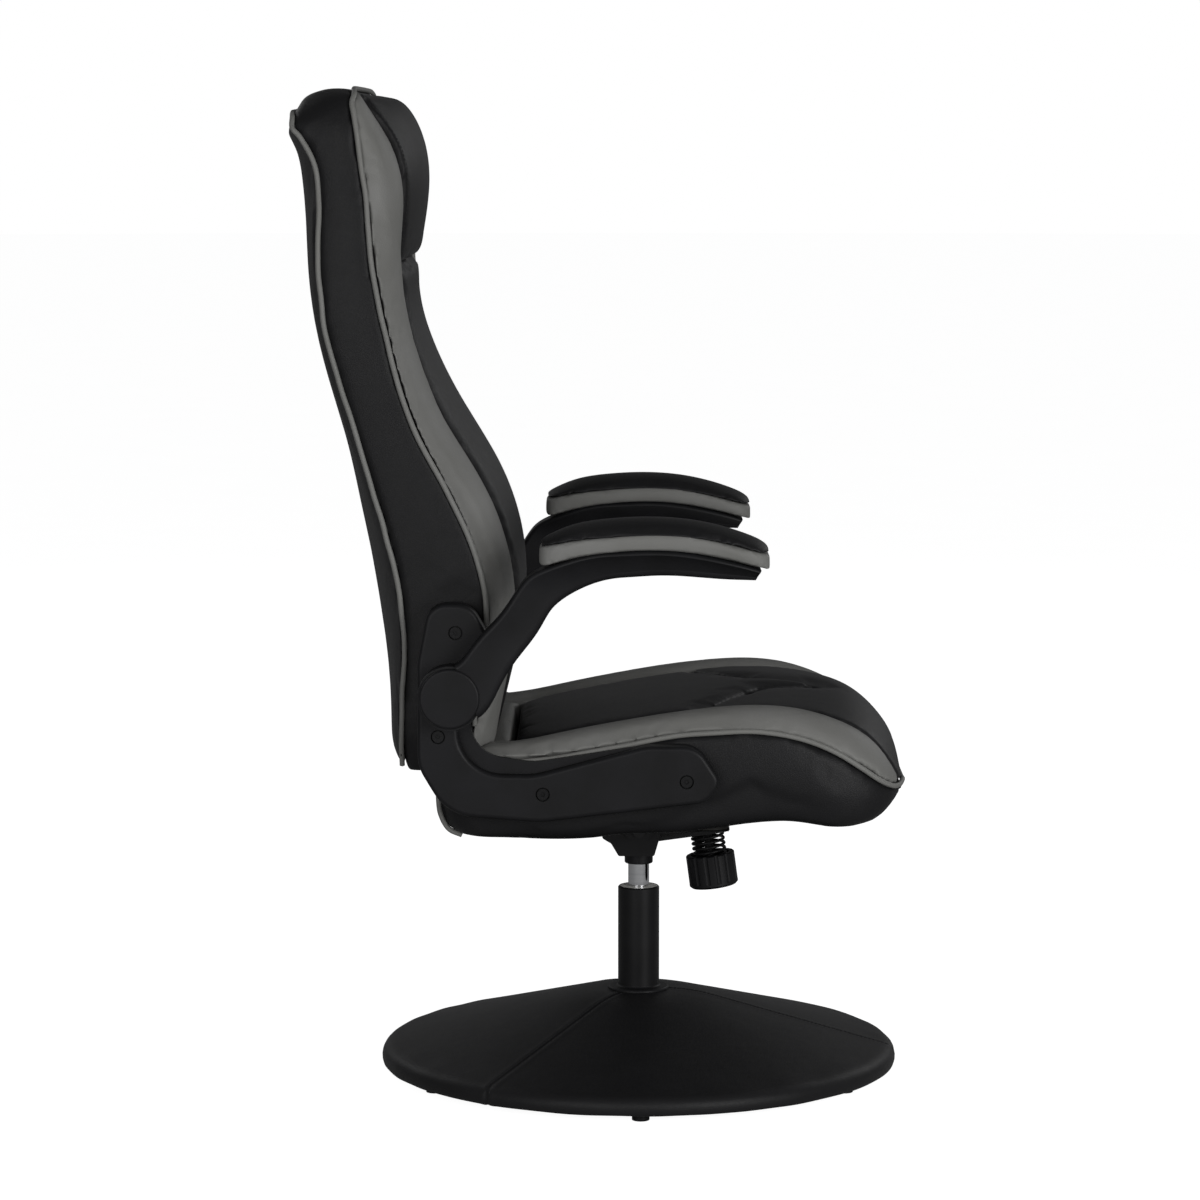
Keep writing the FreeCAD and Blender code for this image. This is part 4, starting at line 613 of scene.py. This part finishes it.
def base_cover():
    """The turned cover with its seams and ripples, closed by an inner skin."""
    radii, heights = base_profile()
    slope_r, slope_z = np.gradient(radii), np.gradient(heights)
    length = np.hypot(slope_r, slope_z)
    out_r, out_z = -slope_z / length, slope_r / length
    flip = -1 if out_z[0] < 0 else 1
    rows = len(radii)
    spots = []
    for turn in range(TURNS):
        angle = 360.0 * turn / TURNS
        ray = math.radians(angle)
        for i in range(rows):
            away = seam_distance(angle, radii[i])
            groove = SEAM_SINK * math.exp(-(away / SEAM_WIDTH) ** 2)
            bead = BEAD_RISE * math.exp(-((away - BEAD_AWAY) / BEAD_WIDTH) ** 2)
            near_rim = math.exp(-((radii[i] - RIPPLE_AT) / RIPPLE_WIDTH) ** 2)
            uneven = math.sin(ray * 23 + 1.3 * math.sin(ray * 5)) * math.sin(ray * 3 + 0.6)
            lift = RIPPLE_RISE * near_rim * uneven - (groove - bead)
            r = radii[i] + flip * out_r[i] * lift
            z = heights[i] + flip * out_z[i] * lift
            spots.append((r * math.cos(ray), r * math.sin(ray), max(z, COVER_FOOT)))
        for i in range(rows):
            r = radii[i] - flip * out_r[i] * COVER_THICK
            z = heights[i] - flip * out_z[i] * COVER_THICK
            spots.append((r * math.cos(ray), r * math.sin(ray), z))
    faces = []
    ring = 2 * rows
    for turn in range(TURNS):
        here, there = turn * ring, (turn + 1) % TURNS * ring
        for i in range(rows - 1):
            faces.append((here + i, here + i + 1, there + i + 1, there + i))
            faces.append((there + rows + i, there + rows + i + 1, here + rows + i + 1, here + rows + i))
        faces.append((here, there, there + rows, here + rows))
        faces.append((here + rows - 1, here + ring - 1, there + ring - 1, there + rows - 1))
    return mesh_object("base_cover", metres(spots), faces, black_leatherette)


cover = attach(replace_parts(base_cover(), "base_cover_panels"), "base")
print("base cover", len(cover.data.vertices), "points")

# %% [markdown]
# ## Creases and stitches
# The photograph shows lines pressed into the panels where the pattern pieces are joined.
# `press` sinks the surface along a line. `stitches` lays short thread stitches on a surface
# along a line: each is a tiny capsule turned along the seam.

# %% Creases and stitches


def press(item, line, depth, width, pucker=0.0, pitch=14.0):
    """Sink a groove along a line, in millimetres, with small gathers across it."""
    tree = KDTree(len(line))
    for i, spot in enumerate(metres(line)):
        tree.insert(spot, i)
    tree.balance()
    run = np.concatenate([[0], np.cumsum(np.linalg.norm(np.diff(line, axis=0), axis=1))])
    spots, normals = points_of(item.data), normals_of(item.data)
    reach = 3.2 * width * MM
    for i, spot in enumerate(spots):
        _, nearest, away = tree.find(spot)
        if away > reach:
            continue
        fall = math.exp(-(away / MM / width) ** 2)
        soft = math.exp(-away / MM / (1.6 * width))
        wave = math.sin(2 * math.pi * run[nearest] / pitch + 0.8 * math.sin(run[nearest] / 31.0))
        spots[i] = spot - normals[i] * MM * (depth * fall + pucker * soft * (1 - fall) * (0.5 + 0.5 * wave))
    put_points(item.data, spots)


# One stitch is four rings of points: their places along it, and shares of its radius
STITCH_RINGS = ((-0.5, 0.45), (-0.3, 1.0), (0.3, 1.0), (0.5, 0.45))
STITCH_SIDES = 6
STITCH_FACES = (len(STITCH_RINGS) - 1) * STITCH_SIDES + 2


def stitches(name, lines, on, thread, pitch=5.0, long=3.4, radius=0.42, lift=0.15):
    """Thread stitches along lines, laid on the nearest surface of a piece."""
    surface = BVHTree.FromObject(on, bpy.context.evaluated_depsgraph_get())
    spots, faces = [], []
    for line in lines:
        even = smooth_line(line, pitch)
        for a, b in zip(even[:-1], even[1:]):
            middle = metres((a + b) / 2)
            place, normal, _, _ = surface.find_nearest(Vector(middle))
            way = Vector(b - a).normalized()
            way = (way - normal * way.dot(normal)).normalized()
            side = normal.cross(way)
            base = len(spots)
            for share, size in STITCH_RINGS:
                for turn in range(STITCH_SIDES):
                    angle = math.tau / STITCH_SIDES * turn
                    spots.append(place + way * (share * long * MM)
                                 + (side * math.cos(angle) + normal * (math.sin(angle) + lift / radius))
                                 * (radius * size * MM))
            last = base + (len(STITCH_RINGS) - 1) * STITCH_SIDES
            for ring in range(base, last, STITCH_SIDES):
                for turn in range(STITCH_SIDES):
                    p, q = ring + turn, ring + (turn + 1) % STITCH_SIDES
                    faces.append((p, q, q + STITCH_SIDES, p + STITCH_SIDES))
            faces.append(tuple(base + k for k in reversed(range(STITCH_SIDES))))
            faces.append(tuple(last + k for k in range(STITCH_SIDES)))
    return mesh_object(name, spots, faces, thread)


black_thread = hard_finish("bonded_thread_black", "#2b2b2c", "#232324", 0.6, 0.5, 0.05, gloss=0.2)
print("press sinks a seam, and stitches lays a row of thread")

# %% [markdown]
# ## Seams sunk into the panels
# A seam pulls both of its panels down to the frame. Remeshing left the panels smooth there, so
# the seam lines are pressed in afterwards, each with slow gathers where the thread bites.

# %% Seams sunk into the panels
# Along the seat: x, and the height of its border seam
SEAT_TOP = [(-150, 413), (-88, 424), (-20, 437), (40, 446.5), (90, 453), (135, 455), (180, 452),
            (220, 443.5), (250, 431), (272, 414), (288, 393), (298, 377)]
SEAT_SEAM_HALF = 187.5
SEAM_OFFSET = 1.5    # the seams lie this far to the front of the station points
PUCKER = 0.5
GATHER_PITCH = 17.0


def seat_top(x):
    """Height of the seat's border seam at one place along the seat."""
    return float(np.interp(x, [row[0] for row in SEAT_TOP], [row[1] for row in SEAT_TOP]))


def back_seam(which, stations, offset=SEAM_OFFSET):
    """One seam of the back as a smooth line on the left side."""
    return smooth_line([back_spot(s, s[2][which] + offset, s[3][which]) for s in stations])


front_seam = back_seam(FRONT_PIPE, BACK_STATIONS[1:])
rear_seam = back_seam(REAR_PIPE, BACK_STATIONS[:15])
border_seam = back_seam(BORDER_SEAM, BACK_STATIONS[1:15], 0)
side_seam = smooth_line([(x, half, z + SEAM_OFFSET) for x, half, z in SEAT_SEAM])
seat_seam_places = (-105, -60, -20, 40, 90, 135, 180, 220, 250, 272, 288)
seat_seam = smooth_line([(x, SEAT_SEAM_HALF, seat_top(x)) for x in seat_seam_places])
for side, sign in (("left", 1), ("right", -1)):
    back_bolster, seat_bolster = "back_bolster_cushion_" + side, "seat_bolster_cushion_" + side
    # Seam line, its depth and width in millimetres, and the panels that it sinks, in order
    for line, depth, width, sunk in (
            (front_seam, 1.6, 4.5, (back_bolster, "back_side_cover")),
            (rear_seam, 1.2, 4.5, ("back_side_cover", "back_rear_cover")),
            (border_seam, 0.8, 4.0, (back_bolster, "back_cushion_centre", "headrest_cushion")),
            (side_seam, 1.4, 4.5, (seat_bolster, "seat_side_cover")),
            (seat_seam, 0.8, 4.0, (seat_bolster, "seat_cushion_centre", "seat_cushion_front"))):
        for name in sunk:
            press(panels[name], line * (1, sign, 1), depth, width, PUCKER, GATHER_PITCH)
print("seams pressed in")

# %% [markdown]
# ## Fullness
# Two places need more shaping after the simulation. The boxing over the top of the back is pulled
# over a padded frame, so it stands a little fuller. The headrest sits down on the centre pad,
# with only a small notch between the two.

# %% Fullness at the top and at the headrest
CROWN_LOW, CROWN_BLEND = 1118 * MM, 30 * MM
CROWN_X, CROWN_WIDTH = -352 * MM, 32 * MM
CROWN_RISE = 7.5 * MM
crown = panels["back_side_cover"].data
spots = points_of(crown)
rise = np.clip((spots[:, 2] - CROWN_LOW) / CROWN_BLEND, 0, 1)
bulge = rise * rise * (3 - 2 * rise) * np.exp(-((spots[:, 0] - CROWN_X) / CROWN_WIDTH) ** 2)
spots[:, 2] += CROWN_RISE * bulge
put_points(crown, spots)

NOTCH_REACH, NOTCH_DRAW = 24.0, 5.0
split = BACK_STATIONS[HEADREST_STATION]
lean = math.radians(split[1])
upward = np.array((-math.sin(lean), 0, math.cos(lean)))
foot = np.array(back_spot(split, 0, 0)) - (0, 0, HEADREST_DROP)
for name, sign in (("headrest_cushion", 1), ("back_cushion_centre", -1)):
    spots = points_of(panels[name].data)
    away = sign * ((spots / MM - foot) @ upward)
    drawn = np.clip(1 - away / NOTCH_REACH, 0, 1)[:, None] * NOTCH_DRAW * MM
    put_points(panels[name].data, spots - sign * drawn * upward)
print("top raised by", CROWN_RISE / MM, "mm, headrest drawn down by", NOTCH_DRAW, "mm")

# %% [markdown]
# ## Piping in the seams
# The cord follows the seam between two panels. Its line starts from the same stations as the
# CAD piping and is then laid on the swollen panels: the shift from one to the other is
# averaged over a long stretch, so that the cord stays as smooth as a real one.

# %% Piping in the seams
PIPE_RADIUS = 3.0
PIPE_OUT = 3.4
PIPE_RISE = 2.8    # how far the cord's middle stands above the sunk seam
NEAR_SEAM = 6 * MM
LEAST_SHARE = 1e-6
EVEN_STEPS = 16    # steps on each side over which the shift is averaged


def hugging(line, items):
    """A seam line laid on the pieces on both sides of it, raised by PIPE_RISE and evened out."""
    graph = bpy.context.evaluated_depsgraph_get()
    surfaces = [BVHTree.FromObject(item, graph) for item in items]
    laid = []
    for spot in metres(line):
        place, way, total = Vector(), Vector(), 0.0
        for surface in surfaces:
            near, normal, _, away = surface.find_nearest(Vector(spot))
            share = math.exp(-(away / NEAR_SEAM) ** 2) + LEAST_SHARE
            place += near * share
            way += normal * share
            total += share
        laid.append(np.array(place / total) / MM + np.array(way.normalized()) * PIPE_RISE)
    line = np.array(line, float)
    shift = np.array(laid) - line
    window = np.hanning(2 * EVEN_STEPS + 3)[1:-1]
    window /= window.sum()
    longer = np.concatenate([shift[:1]] * EVEN_STEPS + [shift] + [shift[-1:]] * EVEN_STEPS)
    return line + np.stack([np.convolve(longer[:, k], window, "valid") for k in range(3)], axis=1)


def back_pipe_line(which, ahead, first, last):
    """Up one side of the back, over the top and down the other side."""
    left = [back_spot(s, s[2][which] + ahead, s[3][which] + PIPE_OUT) for s in BACK_STATIONS[first:last - 1]]
    top = BACK_STATIONS[last - 1]
    crest = back_spot(top, top[2][which] + ahead, 0)
    left.append((crest[0], top[3][which] - 4, crest[2] + PIPE_OUT - 1.6))
    left.append((crest[0], 110, crest[2] + PIPE_OUT + 1.6))
    left.append((crest[0], 0, crest[2] + PIPE_OUT + 2.0))
    right = [(x, -y, z) for x, y, z in left[-2::-1]]
    return smooth_line(left + right, 2.0)


back_front_sides = [panels[name] for name in ("back_side_cover", "back_bolster_cushion_left",
                                              "back_bolster_cushion_right", "headrest_cushion")]
back_rear_sides = [panels["back_side_cover"], panels["back_rear_cover"]]
front_line = hugging(back_pipe_line(FRONT_PIPE, PIPE_OUT, 1, 16), back_front_sides)
rear_line = hugging(back_pipe_line(REAR_PIPE, -PIPE_OUT, 0, 15), back_rear_sides)
pipes = [tube("back_front_pipe", front_line, PIPE_RADIUS, grey_piping_skin),
         tube("back_rear_pipe", rear_line, PIPE_RADIUS, grey_piping_skin)]
rear_corner = [(-204, 219, 313), (-220, 220, 321), (-230.5, 217, 338), (-233, 211, 356),
               (-230.5, 215, 378), (-224, 229, 397)]
seat_pipe_line = rear_corner + [(x, half + 1.8, z + 3.2) for x, half, z in SEAT_SEAM]
seat_pipe_line += [(306, 120, 369), (307, 60, 370)]
for side, line in zip(("left", "right"), both_sides(smooth_line(seat_pipe_line, 2.0))):
    beside = [panels["seat_side_cover"], panels["seat_bolster_cushion_" + side], panels["seat_cushion_front"]]
    pipes.append(tube("seat_pipe_" + side, hugging(line, beside), PIPE_RADIUS, grey_piping_skin))
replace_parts(pipes[0], "back_front_piping")
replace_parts(pipes[1], "back_rear_piping")
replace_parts(pipes[2], "seat_piping")
for pipe in pipes:
    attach(pipe, "seat")
print("piping pieces:", [p.name for p in pipes])

# %% [markdown]
# ## Thread rows
# Each seam of the base has a row of thread on both sides. The headrest has one inside its rim,
# and the seat has one beside its border seam.

# %% Thread rows
THREAD_ASIDE = 3.2    # from the seam to each of its two rows
base_rows = []
radii, heights = base_profile()
keep = (radii > 37) & (heights > 12)    # from the foot ring to the rolled edge
for seam in BASE_SEAMS:
    for aside in (-THREAD_ASIDE, THREAD_ASIDE):
        row = []
        for r, z in zip(radii[keep][::3], heights[keep][::3]):
            angle = math.radians(seam) + aside / max(r, 40)
            row.append((r * math.cos(angle), r * math.sin(angle), z))
        base_rows.append(row)
base_stitches = stitches("base_seam_stitches", base_rows, cover, black_thread)
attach(base_stitches, "base")
print("base stitches:", len(base_stitches.data.polygons) // STITCH_FACES)

rim_stations = BACK_STATIONS[HEADREST_STATION:15]
rim = smooth_line([back_spot(s, s[2][BORDER_SEAM] + 4, s[3][BORDER_SEAM] - 7) for s in rim_stations])
edge = smooth_line([(x, 180.0, seat_top(x) + 2) for x in (-95, -60, -20, 40, 90, 135, 180, 220, 250)])
for name, rows, on in (("headrest_stitches", both_sides(rim), panels["headrest_cushion"]),
                       ("seat_stitches", both_sides(edge), panels["seat_cushion_centre"])):
    row = stitches(name, rows, on, black_thread)
    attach(row, "seat")
    print(name, len(row.data.polygons) // STITCH_FACES)

# %% [markdown]
# ## Dust cover
# Under the seat a sheet of spunbond cloth is stapled over the board, to hide the rails and keep
# dust in. It is one sheet, cut to the board's size, with a slight sag between its staples.

# %% Dust cover
cover_box = points_of(frame["nodes"]["seat_dust_cover"].data)
low, high = cover_box.min(axis=0), cover_box.max(axis=0)
COLUMNS, ROWS = 40, 60
SHEET_SAG, SHEET_LIFT = 0.3 * MM, 0.35 * MM
sheet_spots, sheet_faces = [], []
for i in range(COLUMNS + 1):
    for k in range(ROWS + 1):
        u, v = i / COLUMNS, k / ROWS
        sag = SHEET_SAG * math.sin(math.pi * u) * math.sin(math.pi * v)
        sheet_spots.append((low[0] + u * (high[0] - low[0]), low[1] + v * (high[1] - low[1]),
                            low[2] + SHEET_LIFT - sag))
for i in range(COLUMNS):
    for k in range(ROWS):
        a = i * (ROWS + 1) + k
        sheet_faces.append((a, a + 1, a + ROWS + 2, a + ROWS + 1))
lining = mesh_object("seat_lining_sheet", sheet_spots, sheet_faces, lining_cloth)
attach(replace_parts(lining, "seat_dust_cover"), "seat")
print("lining", [round(float(v), 4) for v in high - low], "m")

# %% [markdown]
# ## Riding on the bodies
# Each cushion moves with the body that carries it: the arm pads with their arms, all others
# with the seat. All of them are padded, with firm foam under a taut cover.

# %% Everything rides
for name, item in panels.items():
    if name.startswith("arm_rest"):
        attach(item, "arm_" + name.rsplit("_", 1)[1])
    else:
        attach(item, "seat")
print(len(panels), "padded panels ride on their bodies")
